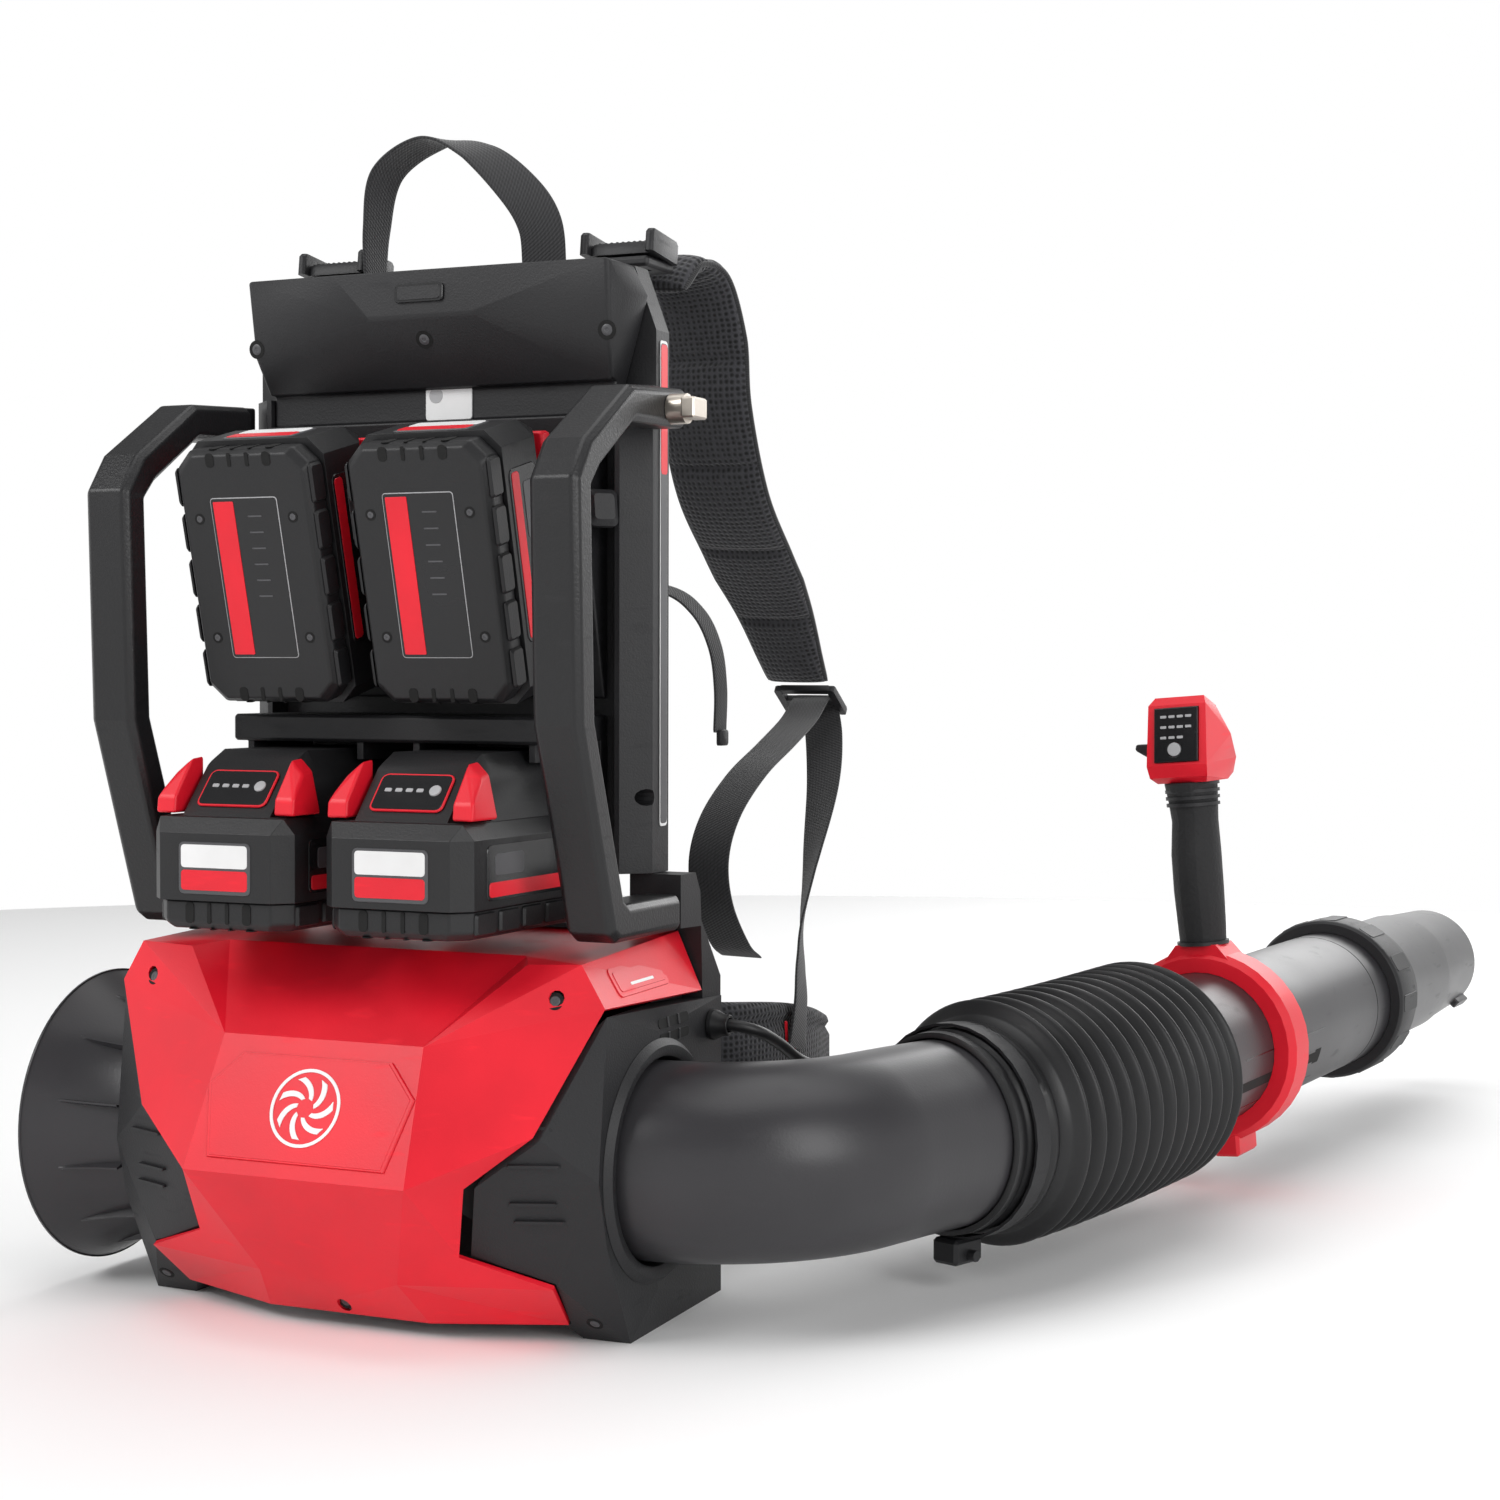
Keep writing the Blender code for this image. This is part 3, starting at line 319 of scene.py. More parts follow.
# =============================================================== shapes
def sheet_of(points, wrap_rows=False, wrap_cols=False, caps=False, mat="black", uv=None):
    """Grid of points as (vertices, faces, map, material); caps close the first and last row."""
    rows, cols = points.shape[:2]
    at = np.arange(rows * cols).reshape(rows, cols)
    if wrap_rows:
        at = np.vstack([at, at[:1]])
    if wrap_cols:
        at = np.hstack([at, at[:, :1]])
    quads = np.stack([at[:-1, :-1], at[:-1, 1:], at[1:, 1:], at[1:, :-1]], -1).reshape(-1, 4)
    faces = quads.tolist()
    if caps:
        faces += [list(range(cols))[::-1], list(range((rows - 1) * cols, rows * cols))]
    if uv is None:
        uv = np.zeros((rows, cols, 2))
    return points.reshape(-1, 3), faces, uv.reshape(-1, 2), mat


def moved(shape, place):
    """The shape carried by a matrix."""
    m = np.array(place)
    verts = shape[0] @ m[:3, :3].T + m[:3, 3]
    return verts, shape[1], shape[2], shape[3]


def piece(name, shapes, body, replaces=(), sharp=35.0, bevel=0.0):
    """One object from shapes, riding on a body."""
    mesh = bpy.data.meshes.new(name)
    verts, faces, uvs, slots, count = [], [], [], [], 0
    used = sorted({s[3] for s in shapes})
    for v, f, uv, mat in shapes:
        verts.append(v)
        uvs.append(uv)
        faces += [[i + count for i in face] for face in f]
        slots += [used.index(mat)] * len(f)
        count += len(v)
    mesh.from_pydata(np.vstack(verts).tolist(), [], faces)
    mesh.polygons.foreach_set("material_index", slots)
    corner = np.empty(len(mesh.loops), np.int32)
    mesh.loops.foreach_get("vertex_index", corner)
    layer = mesh.uv_layers.new(name="cloth")
    layer.data.foreach_set("uv", np.vstack(uvs)[corner].astype(np.float32).ravel())
    bm = bmesh.new()
    bm.from_mesh(mesh)
    bmesh.ops.recalc_face_normals(bm, faces=bm.faces)
    bm.to_mesh(mesh)
    bm.free()
    for mat in used:
        mesh.materials.append(M[mat])
    return placed(name, mesh, body, replaces, sharp, bevel)


def placed(name, mesh, body, replaces, sharp, bevel):
    mesh.shade_smooth()
    mesh.set_sharp_from_angle(angle=math.radians(sharp))
    obj = bpy.data.objects.new(name, mesh)
    bpy.context.scene.collection.objects.link(obj)
    if bevel:
        mod = obj.modifiers.new("edges", "BEVEL")
        mod.width = bevel
        mod.segments = 3
        mod.limit_method = "ANGLE"
        mod.angle_limit = math.radians(24)
        mod.harden_normals = True
    if body:
        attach(obj, body)
    if replaces:
        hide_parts(*replaces)
    return obj


def softened(node, mat, bevel, sharp=35.0):
    """A CAD piece with merged facets and rounded edges, in its own material."""
    bm = bmesh.new()
    bm.from_mesh(frame["nodes"][node].data)
    bmesh.ops.remove_doubles(bm, verts=bm.verts, dist=0.00002)
    bmesh.ops.dissolve_limit(bm, angle_limit=math.radians(0.6), verts=bm.verts, edges=bm.edges)
    mesh = bpy.data.meshes.new(node + "_finish")
    bm.to_mesh(mesh)
    bm.free()
    mesh.materials.append(M[mat])
    body = frame["nodes"][node]["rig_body"]
    return placed(node + "_finish", mesh, body, (node,), sharp, bevel)


def rounded(width, height, radius, steps=5):
    """Rectangle with quarter-circle corners, as (x, y) points round its middle."""
    a = np.linspace(0, math.pi / 2, steps)
    x, y = width / 2 - radius, height / 2 - radius
    corners = [((x, y), 0), ((-x, y), 1), ((-x, -y), 2), ((x, -y), 3)]
    return np.vstack([np.array(c) + radius * np.stack([np.cos(a + k * math.pi / 2),
                                                      np.sin(a + k * math.pi / 2)], 1)
                      for c, k in corners])


def plate(outline, thickness, edge, place, mat):
    """Outline in the local XY plane raised along local Z, its upper rim drawn in by edge."""
    middle = outline.mean(0)
    reach = np.abs(outline - middle).max()
    inner = middle + (outline - middle) * (1 - edge / reach)
    rings = [(outline, 0), (outline, thickness - edge), (inner, thickness)]
    points = np.stack([np.column_stack([o, np.full(len(o), z)]) for o, z in rings])
    return moved(sheet_of(points, wrap_cols=True, caps=True, mat=mat), place)


def slab(width, height, thickness, place, mat, radius=0.001, edge=0.0004):
    return plate(rounded(width, height, radius), thickness, edge, place, mat)


def facing(point, normal, up=(0, 0, 1)):
    """Matrix whose local Z is the normal and whose local Y is upward."""
    z = Vector(normal).normalized()
    x = Vector(up).cross(z).normalized()
    return Matrix.Translation(point) @ Matrix((x, z.cross(x), z)).transposed().to_4x4()


def lathe(profile, place, mat, steps=96, closed=True):
    """(along, radius) profile turned about local Y: x = r cos a, z = r sin a."""
    h, r = np.array(profile, float).T
    a = np.linspace(0, 2 * math.pi, steps, endpoint=False)[None, :]
    points = np.stack([r[:, None] * np.cos(a), h[:, None] + 0 * a, r[:, None] * np.sin(a)], -1)
    return moved(sheet_of(points, wrap_rows=closed, wrap_cols=True, mat=mat), place)


def curve(points, count):
    """Evenly spaced points on a smooth curve through given points."""
    p = np.array(points, float)
    ends = np.vstack([2 * p[0] - p[1], p, 2 * p[-1] - p[-2]])
    t = np.linspace(0, 1, 24, endpoint=False)[:, None]
    fine = [0.5 * (2 * b + (c - a) * t + (2 * a - 5 * b + 4 * c - d) * t ** 2
                   + (3 * b - a - 3 * c + d) * t ** 3)
            for a, b, c, d in zip(ends, ends[1:], ends[2:], ends[3:])]
    fine = np.vstack(fine + [p[-1:]])
    run = np.concatenate([[0], np.cumsum(np.linalg.norm(np.diff(fine, axis=0), axis=1))])
    at = np.linspace(0, run[-1], count)
    return np.stack([np.interp(at, run, fine[:, k]) for k in range(3)], 1)


def pipe(path, radii, steps):
    """Circles of the radii about a path that stays near level: side = tangent x up."""
    path = np.asarray(path, float)
    along = np.gradient(path, axis=0)
    side = np.cross(along, (0, 0, 1.0))
    side /= np.linalg.norm(side, axis=1)[:, None]
    up = np.cross(side, along)
    up /= np.linalg.norm(up, axis=1)[:, None]
    a = np.linspace(0, 2 * math.pi, steps, endpoint=False)
    ring = np.cos(a)[None, :, None] * side[:, None] + np.sin(a)[None, :, None] * up[:, None]
    return path[:, None] + ring * np.asarray(radii)[:, None, None]


def seam_line(run):
    """Cross seams along a run: exp(-(distance to the nearest seam / SEAM)^2)."""
    return np.exp(-((run % QUILT_PITCH - QUILT_PITCH / 2) / SEAM) ** 2)


def band(route, widths, thickness, side, mat, count=120, crown=0.0, quilt=0.0, power=0.35):
    """Flat strap along a route.  Its section is a flattened oval: across = cos a ** power,
    height = sin a ** power, so that the sides are round; crown swells its middle and quilt
    sinks cross seams into it."""
    path = curve(route, count)
    along = np.gradient(path, axis=0)
    along /= np.linalg.norm(along, axis=1)[:, None]
    t = np.linspace(0, 1, count)
    side = np.array(side, float)
    keys = np.linspace(0, 1, len(side))
    across = np.stack([np.interp(t, keys, side[:, k]) for k in range(3)], 1)
    across -= (across * along).sum(1)[:, None] * along
    across /= np.linalg.norm(across, axis=1)[:, None]
    out = np.cross(along, across)
    width = np.interp(t, np.linspace(0, 1, len(widths)), widths)
    a = np.linspace(0, 2 * math.pi, 32, endpoint=False)
    ca, sa = np.cos(a), np.sin(a)
    w = np.sign(ca) * np.abs(ca) ** power
    h = np.sign(sa) * np.abs(sa) ** power
    run = np.concatenate([[0], np.cumsum(np.linalg.norm(np.diff(path, axis=0), axis=1))])
    seams = 1 - quilt * seam_line(run[:, None])
    swell = (1 + crown * (1 - w[None, :] ** 2)) * seams
    ends = np.clip(np.minimum(run, run[-1] - run) / max(thickness, 1e-4), 0, 1) ** 0.5
    lift = h[None, :] * thickness / 2 * swell * (0.35 + 0.65 * ends[:, None])
    wide = w[None, :] * width[:, None] / 2
    points = path[:, None] + across[:, None] * wide[..., None] + out[:, None] * lift[..., None]
    uv = np.stack([wide, np.repeat(run[:, None], 32, 1)], -1)
    return sheet_of(points, wrap_cols=True, caps=True, mat=mat, uv=uv)


def swollen(shape, held, pressure, cap):
    """The closed shape after 20 frames of cloth under inner pressure and no gravity.  Held
    vertices stay, as sewn seams do, and no other vertex moves further than cap."""
    verts, faces, uv, mat = shape
    mesh = bpy.data.meshes.new("swelling")
    mesh.from_pydata(verts.tolist(), [], faces)
    bm = bmesh.new()
    bm.from_mesh(mesh)
    bmesh.ops.recalc_face_normals(bm, faces=bm.faces)
    bm.to_mesh(mesh)
    bm.free()
    obj = bpy.data.objects.new("swelling", mesh)
    bpy.context.scene.collection.objects.link(obj)
    group = obj.vertex_groups.new(name="held")
    group.add(np.flatnonzero(held).tolist(), 1.0, "REPLACE")
    cloth = obj.modifiers.new("cloth", "CLOTH")
    cloth.settings.vertex_group_mass = "held"
    cloth.settings.use_pressure = True
    cloth.settings.uniform_pressure_force = pressure
    cloth.settings.effector_weights.gravity = 0
    cloth.settings.quality = 5
    cloth.point_cache.frame_start = 1
    cloth.point_cache.frame_end = 20
    for step in range(1, 21):
        bpy.context.scene.frame_set(step)
    graph = bpy.context.evaluated_depsgraph_get()
    done = obj.evaluated_get(graph).to_mesh()
    after = np.empty(len(done.vertices) * 3)
    done.vertices.foreach_get("co", after)
    bpy.data.objects.remove(obj)
    bpy.context.scene.frame_set(1)
    shift = after.reshape(-1, 3) - verts
    far = np.linalg.norm(shift, axis=1)[:, None]
    return verts + shift * np.minimum(1, cap / np.maximum(far, 1e-9)), faces, uv, mat


def on_axis(point, along, lean=0.0):
    """Matrix with local Y along a direction, local Z upward, turned about Y by lean."""
    y = Vector(along).normalized()
    x = y.cross(Vector((0, 0, 1))).normalized()
    m = Matrix((x, y, x.cross(y))).transposed().to_4x4()
    return Matrix.Translation(point) @ m @ Matrix.Rotation(lean, 4, "Y")


AXLE = on_axis((0, DUCT[1], DUCT[2]), (1, 0, 0))
TUBE_AXIS = Vector(joints["handle_slide"]["axis"])
TUBE = on_axis(Vector(joints["collar_twist"]["pos_m"]) - COLLAR_START * TUBE_AXIS, TUBE_AXIS)
HANDLE = TUBE @ Matrix.Rotation(GRIP_LEAN, 4, "Y")


# =============================================================== cable
CABLE_ROUTE = [(146, 56, 151), (152, 56, 151), (159, 56.5, 151), (170, 65, 147), (174, 84, 138),
               (178, 112, 124), (188, 160, 112), (202, 205, 106), (216, 255, 102),
               (229, 305, 100), (242, 355, 100), (254, 400, 104), (260, 430, 112)]
CABLE_R = 0.0033


def control_cable():
    """Cable from the gland to the handle, in three lengths: machine to elbow, elbow to tube,
    and a last one up to the handle."""
    path = curve(np.array(CABLE_ROUTE) * MM, 112)
    meet, last = 36, 82
    parts = (("cable_base", path[:meet + 1], "machine", "outlet"),
             ("cable_tube", path[meet:last + 1], "outlet", "tube"),
             ("cable_handle", path[last:], "tube", "handle"))
    for name, run, first, second in parts:
        rings = pipe(run, np.full(len(run), CABLE_R), 16)
        shape = sheet_of(rings, wrap_cols=True, caps=True, mat="hose")
        obj = piece(name, [shape], None, ("control_cable",))
        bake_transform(obj)
    softened("cable_gland", "hose", 0.0006)


# =============================================================== small fittings
def landing(node, start, direction):
    """Where a ray first meets a CAD piece: the point and the outward normal."""
    mesh = frame["nodes"][node].data
    tree = BVHTree.FromPolygons([v.co for v in mesh.vertices],
                                [tuple(p.vertices) for p in mesh.polygons])
    point, normal, _, _ = tree.ray_cast(Vector(start), Vector(direction))
    return point, -normal if normal.dot(Vector(direction)) > 0 else normal


def sunk_hole(point, normal, radius=0.0042, depth=0.0002):
    """Dark bore with a dull screw head in it; depth is below the surface."""
    place = facing(Vector(point) - Vector(normal).normalized() * (depth + 0.0006), normal)
    turn = place @ Matrix.Rotation(math.pi / 2, 4, "X")
    floor_disc = [(0, radius), (0.0010, radius), (0.0010, 0.0001), (0, 0.0001)]
    head = [(0.0009, radius * 0.62), (0.0013, radius * 0.5), (0.0013, radius * 0.24),
            (0.0011, radius * 0.2), (0.0011, 0.0001), (0.0009, 0.0001)]
    return [lathe(floor_disc, turn, "void", 28), lathe(head, turn, "grey", 20)]


# =============================================================== cover and housing
def emblem():
    """Hexagon plaque with a ring of curved fan blades, lying on the cover's middle facet."""
    low, high = Vector((0, -0.1369, 0.0885)), Vector((0, -0.1078, 0.1555))
    rise = (high - low).normalized()
    normal = Vector((0, -rise.z, rise.y))
    centre = low + (high - low) * 0.50 + normal * 0.0001
    place = facing(centre, normal)
    hexagon = np.array([(0.045, 0.027), (-0.045, 0.027), (-0.062, 0.009), (-0.053, -0.029),
                        (0.053, -0.029), (0.062, 0.009)])
    shapes = [plate(hexagon, 0.0010, 0.0006, place, "red"),
              plate(hexagon * 0.965, 0.0013, 0.0003, place, "red")]
    ring = place @ Matrix.Translation((0, 0, 0.0011)) @ Matrix.Rotation(math.pi / 2, 4, "X")
    shapes.append(lathe([(0, 0.0205), (0.0007, 0.0205), (0.0007, 0.0188), (0, 0.0188)], ring,
                        "white", 64))
    t = np.linspace(0, 1, 10)
    for k in range(7):
        start = 2 * math.pi * k / 7
        lead = start + 0.9 * t
        trail = start + 0.42 + 0.75 * t
        r = 0.005 + 0.0115 * t
        edge = np.vstack([np.stack([r * np.cos(lead), r * np.sin(lead)], 1),
                          np.stack([r * np.cos(trail), r * np.sin(trail)], 1)[::-1]])
        shapes.append(plate(edge, 0.0007, 0.0002, place @ Matrix.Translation((0, 0, 0.0011)),
                            "white"))
    return shapes


def cover_and_housing():
    softened("rear_cover", "red", 0.0016, 20)
    shapes = emblem()
    for x, y, z in ((0.1233, -0.0879, 0.1808), (-0.1233, -0.0879, 0.1808), (0, -0.0903, 0.0136)):
        shapes += sunk_hole((x, y, z), (x * 2, -1, (z - 0.1) * 5), 0.0046, 0.0045)
    for sign in (1, -1):
        point, normal = landing("rear_cover", (sign * 0.3, -0.022, 0.1855), (-sign, 0, 0))
        spot = facing(point, normal)
        shapes.append(slab(0.066, 0.0165, 0.0007, spot, "red", 0.003))
        shapes.append(slab(0.060, 0.0115, 0.0011, spot, "red", 0.002))
        shapes.append(slab(0.030, 0.0016, 0.0013, spot @ Matrix.Translation((0, -0.0026, 0)),
                           "white", 0.0006, 0.0001))
    piece("cover_details", shapes, "machine")

    softened("fan_housing", "black", 0.0018, sharp=25)
    details = []
    for sign in (1, -1):
        for z, x0, x1 in ((0.1165, 0.1125, 0.1265), (0.0980, 0.1050, 0.1300),
                          (0.0785, 0.1045, 0.1270), (0.0690, 0.1060, 0.1300)):
            a, normal = landing("fan_housing", (sign * x0, -0.3, z), (0, 1, 0))
            b = landing("fan_housing", (sign * x1, -0.3, z), (0, 1, 0))[0]
            spot = facing((a + b) / 2 - normal * 0.0006, normal, a - b)
            details.append(slab(0.0016, (a - b).length, 0.0026, spot, "black", 0.0007, 0.0005))
        for k, z in enumerate((0.160, 0.152)):
            point, normal = landing("fan_housing", (sign * 0.3, 0.004 + 0.001 * k, z),
                                    (-sign, 0, 0))
            spot = facing(point, normal)
            details.append(slab(0.040, 0.0052, 0.0003, spot, "void", 0.0024, 0.0001))
            for x in (-0.008, 0.006):
                details.append(slab(0.0022, 0.0056, 0.0009, spot @ Matrix.Translation((x, 0, 0)),
                                    "black", 0.0004, 0.0002))
        point, normal = landing("fan_housing", (sign * 0.1329, -0.3, 0.0115), (0, 1, 0))
        details += sunk_hole(point, normal, 0.0045)
    piece("housing_details", details, "machine")

    wall_width, ribs, rib_pitch = 0.222, 8, 0.026
    wall = facing((0, 0.0732, 0.154), (0, 1, 0))
    closing = [slab(wall_width, 0.106, 0.0024, wall, "black", 0.006, 0.0010)]
    lid = facing((0, 0.0520, 0.2035), (0, 0, 1), (0, 1, 0))
    closing.append(slab(wall_width, 0.047, 0.0028, lid, "black", 0.004, 0.0010))
    for k in range(ribs):
        rib = wall @ Matrix.Translation((-0.091 + rib_pitch * k, 0, 0.0018))
        closing.append(slab(0.0028, 0.096, 0.0018, rib, "black", 0.001, 0.0006))
    piece("housing_back_wall", closing, "machine")

    bezel = [(0.1235, 0.0577), (0.1235, 0.0530), (0.139, 0.0530), (0.150, 0.0548),
             (0.1515, 0.0570), (0.1515, 0.0605), (0.1498, 0.0622), (0.148, 0.0640),
             (0.1455, 0.0642), (0.1455, 0.0577)]
    piece("outlet_bezel_finish", [lathe(bezel, AXLE, "black")], "machine", ("outlet_bezel",))


def inlet():
    """Trumpet r = throat + (mouth - throat) t^1.9 with a rolled lip, and gusset ribs."""
    lo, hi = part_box("inlet_cone")
    mouth = (hi[2] - lo[2]) / 2 - 0.002
    throat, start, end = 0.0577, -0.130, lo[0]
    t = np.linspace(0, 1, 40)
    x, r = start + (end - start) * t, throat + (mouth - throat) * t ** 1.9
    a = np.linspace(0, math.pi, 10)
    lip = [(end + 0.0014 - 0.0014 * math.sin(k), mouth + 0.0018 * math.cos(k)) for k in a]
    outer = [(h, q + 0.0018) for h, q in zip(x, r) if h < -0.1505]
    inner = [(h, q - 0.0020) for h, q in zip(x, r)][::-1]
    flange = [(-0.130, 0.0572), (-0.1485, 0.0572), (-0.1485, 0.0640)]
    shapes = [lathe(flange + outer + lip + inner, AXLE, "tube")]
    s = np.linspace(0, 1, 14)
    away = -0.1500 - 0.036 * s
    skin_r = throat + (mouth - throat) * ((start - away) / (start - end)) ** 1.9 + 0.0014
    crest = skin_r + 0.0062 * (1 - s) ** 0.7
    for k in range(12):
        turn = AXLE @ Matrix.Rotation(math.pi * (k + 0.5) / 6, 4, "Y")
        section = np.stack([np.column_stack([r, away, np.full(14, w)])
                            for r, w in ((skin_r, -0.0011), (crest, -0.0005), (crest, 0.0005),
                                         (skin_r, 0.0011))], 1)
        shapes.append(moved(sheet_of(section, wrap_cols=True, caps=True, mat="tube"), turn))
    piece("inlet_cone_finish", shapes, "machine", ("inlet_cone",))
    softened("inlet_guard", "black", 0.0004)


def inside():
    softened("fan_rotor", "black", 0.0005)
    softened("motor_can", "alloy", 0.0005)
    for node in ("drive_shaft", "bearing_front", "bearing_rear"):
        softened(node, "steel", 0.0003)
    softened("controller_board", "board", 0.0004)


# =============================================================== frame
def back_frame():
    softened("frame_shell", "black", 0.0016)
    softened("frame_cover", "black", 0.0020)
    softened("upper_dock", "black", 0.0020)
    softened("lower_dock", "black", 0.0012)
    for side, sign in (("left", -1), ("right", 1)):
        softened("handle_" + side, "bar", 0.0016, sharp=25)
        strip = facing((sign * 0.1262, 0.0325, 0.392), (sign, 0, 0))
        shapes = [slab(0.0086, 0.262, 0.0004, strip, "white", 0.002, 0.0002),
                  slab(0.0076, 0.259, 0.0006, strip, "grey", 0.002, 0.0002)]
        band_up = strip @ Matrix.Translation((0, 0.094, 0))
        shapes.append(slab(0.0076, 0.070, 0.0007, band_up, "red", 0.002, 0.0002))
        catch = facing((sign * 0.104, 0.002, 0.431), (sign * 0.7, -0.7, 0.2))
        shapes.append(slab(0.016, 0.020, 0.007, catch, "black", 0.003, 0.003))
        piece("frame_side_" + side, shapes, "machine")
    shapes = []
    for x in (-0.1105, 0.0, 0.1105):
        point, normal = landing("frame_cover", (x, -0.3, 0.5253), (0, 1, 0))
        shapes += sunk_hole(point, normal, 0.0052)
    badge = facing((0, -0.0112, 0.5500), (0, -1, 0.05))
    shapes.append(slab(0.030, 0.0100, 0.0010, badge, "gloss", 0.002))
    shapes.append(slab(0.027, 0.0075, 0.0014, badge, "black", 0.0015))
    note = facing((0.006, 0.0106, 0.4935), (0, -1, 0))
    shapes.append(slab(0.030, 0.022, 0.0005, note, "grey", 0.002, 0.0002))
    shapes.append(slab(0.0292, 0.0212, 0.0008, note, "white", 0.0018, 0.0002))
    shapes.append(slab(0.0085, 0.0085, 0.0010, note @ Matrix.Translation((-0.008, 0.003, 0)),
                       "lens", 0.0040, 0.0001))
    piece("frame_details", shapes, "machine")
    softened("hitch_peg", "steel", 0.0009)


# =============================================================== battery packs
def pack_details(name, place):
    """Labels left blank, foot lugs, screws, and the charge gauge of one pack."""
    shapes = []
    end = place @ facing((0, 0.0001, 0.032), (0, -1, 0))
    shapes += [slab(0.044, 0.027, 0.0007, end, "grey", 0.003),
               slab(0.041, 0.012, 0.0010, end @ Matrix.Translation((0, 0.0062, 0)), "white", 0.002),
               slab(0.041, 0.0105, 0.0010, end @ Matrix.Translation((0, -0.0062, 0)), "red", 0.002)]
    for sign in (1, -1):
        flank = place @ facing((sign * 0.0429, 0.066, 0.033), (sign, 0, 0))
        shapes.append(slab(0.090, 0.028, 0.0006, flank, "gloss", 0.004))
        shapes.append(slab(0.086, 0.0075, 0.0009, flank @ Matrix.Translation((0, -0.0085, 0)),
                           "red", 0.002))
        shapes.append(slab(0.030, 0.0110, 0.0009,
                           flank @ Matrix.Translation((-0.022 * sign, 0.004, 0)), "grey", 0.002))
        for k in range(5):
            pad = place @ facing((sign * 0.0408, 0.0225 + 0.0245 * k, 0.0079), (sign, 0, 0))
            shapes.append(slab(0.0205, 0.0112, 0.0018, pad, "case", 0.002, 0.0012))
    for y, n in ((0.0030, -1), (0.1390, 1)):
        for x, width in ((-0.0175, 0.0052), (-0.0055, 0.0022), (0.0055, 0.0022), (0.0175, 0.0052)):
            notch = place @ facing((x, y, 0.0085), (0, n, 0))
            shapes.append(slab(width, 0.0110, 0.0004, notch, "void", width * 0.4, 0.0001))
            over = place @ facing((x, y - n * 0.0052, 0.0001), (0, 0, -1), (0, -1, 0))
            shapes.append(slab(width, 0.0075, 0.0004, over, "void", width * 0.4, 0.0001))
    under = place @ facing((0, 0.071, 0.0002), (0, 0, -1), (0, -1, 0))
    shapes += [slab(0.0415, 0.0860, 0.0005, under, "lens", 0.002, 0.0001),
               slab(0.0405, 0.0850, 0.0008, under, "gloss", 0.0015, 0.0001),
               slab(0.0125, 0.0820, 0.0011, under @ Matrix.Translation((-0.0125, 0, 0)), "red",
                    0.0006, 0.0001)]
    for k in range(6):
        mark = under @ Matrix.Translation((0.006, 0.033 - 0.0085 * k, 0))
        shapes.append(slab(0.0085, 0.0008, 0.0010, mark, "grey", 0.0003, 0.0001))
    for x in (-0.029, 0.029):
        for y in (0.039, 0.103):
            shapes += [moved(s, place) for s in sunk_hole((x, y, 0), (0, 0.001, -1), 0.0030)]
    gauge = place @ facing((0, 0.0215, 0.0722), (0, -0.756, 0.655))
    shapes += [slab(0.043, 0.024, 0.0008, gauge, "red", 0.004),
               slab(0.041, 0.022, 0.0011, gauge, "gloss", 0.003)]
    for k in range(4):
        bar = gauge @ Matrix.Translation((-0.014 + 0.0062 * k, 0.001, 0.0009))
        shapes.append(slab(0.0040, 0.0022, 0.0006, bar, "lens", 0.0006, 0.0002))
    push = (gauge @ Matrix.Translation((0.0135, 0.001, 0.0009))
            @ Matrix.Rotation(math.pi / 2, 4, "X"))
    shapes.append(lathe([(0, 0.0034), (0.0008, 0.0032), (0.0010, 0.0001), (0, 0.0001)], push,
                        "lens", 24))
    piece(name + "_details", shapes, name)


def packs():
    for name, place in PACKS.items():
        softened(name + "_case", "case", 0.0016)
        softened(name + "_base", "case", 0.0012)
        for side in ("left", "right"):
            softened(f"{name}_latch_{side}", "red", 0.0016)
        pack_details(name, place)


# =============================================================== air tube
def elbow():
    """Pipe bent a quarter turn in plan, as an outer and an inner wall."""
    turn = math.pi / 2 - HEADING_0
    a = np.linspace(0, turn, 60)
    bend = np.column_stack([ELBOW_X1 + ELBOW_BEND * np.sin(a),
                            DUCT[1] + ELBOW_BEND * (1 - np.cos(a))])
    ahead = np.array((math.sin(HEADING_0), math.cos(HEADING_0)))
    tail = CUFF[:2] + ahead * np.linspace(-0.030, 0.030, 8)[:, None]
    plan = np.vstack([[(ELBOW_X0, DUCT[1]), (0.131, DUCT[1])], bend, tail])
    path = np.column_stack([plan, np.full(len(plan), DUCT[2])])
    outer = pipe(path, np.full(len(path), ELBOW_R), 96)
    inner = pipe(path, np.full(len(path), ELBOW_R - PIPE_WALL), 96)
    wall = sheet_of(np.vstack([outer, inner[::-1]]), wrap_rows=True, wrap_cols=True, mat="tube")
    piece("elbow_finish", [wall], "outlet", ("elbow",), 40)


def bellows_path(s):
    """Middle line of the hose: a straight chord plus a parabola, easing up to the tube."""
    t = s / BELLOWS_L
    head, lag = (HEADING_0 + HEADING_1) / 2, (HEADING_0 - HEADING_1) / 2
    bow = lag * BELLOWS_L * t * (1 - t)
    return CUFF + np.column_stack([math.sin(head) * s + math.cos(head) * bow,
                                   math.cos(head) * s - math.sin(head) * bow,
                                   BELLOWS_RISE * t * t * (3 - 2 * t)])


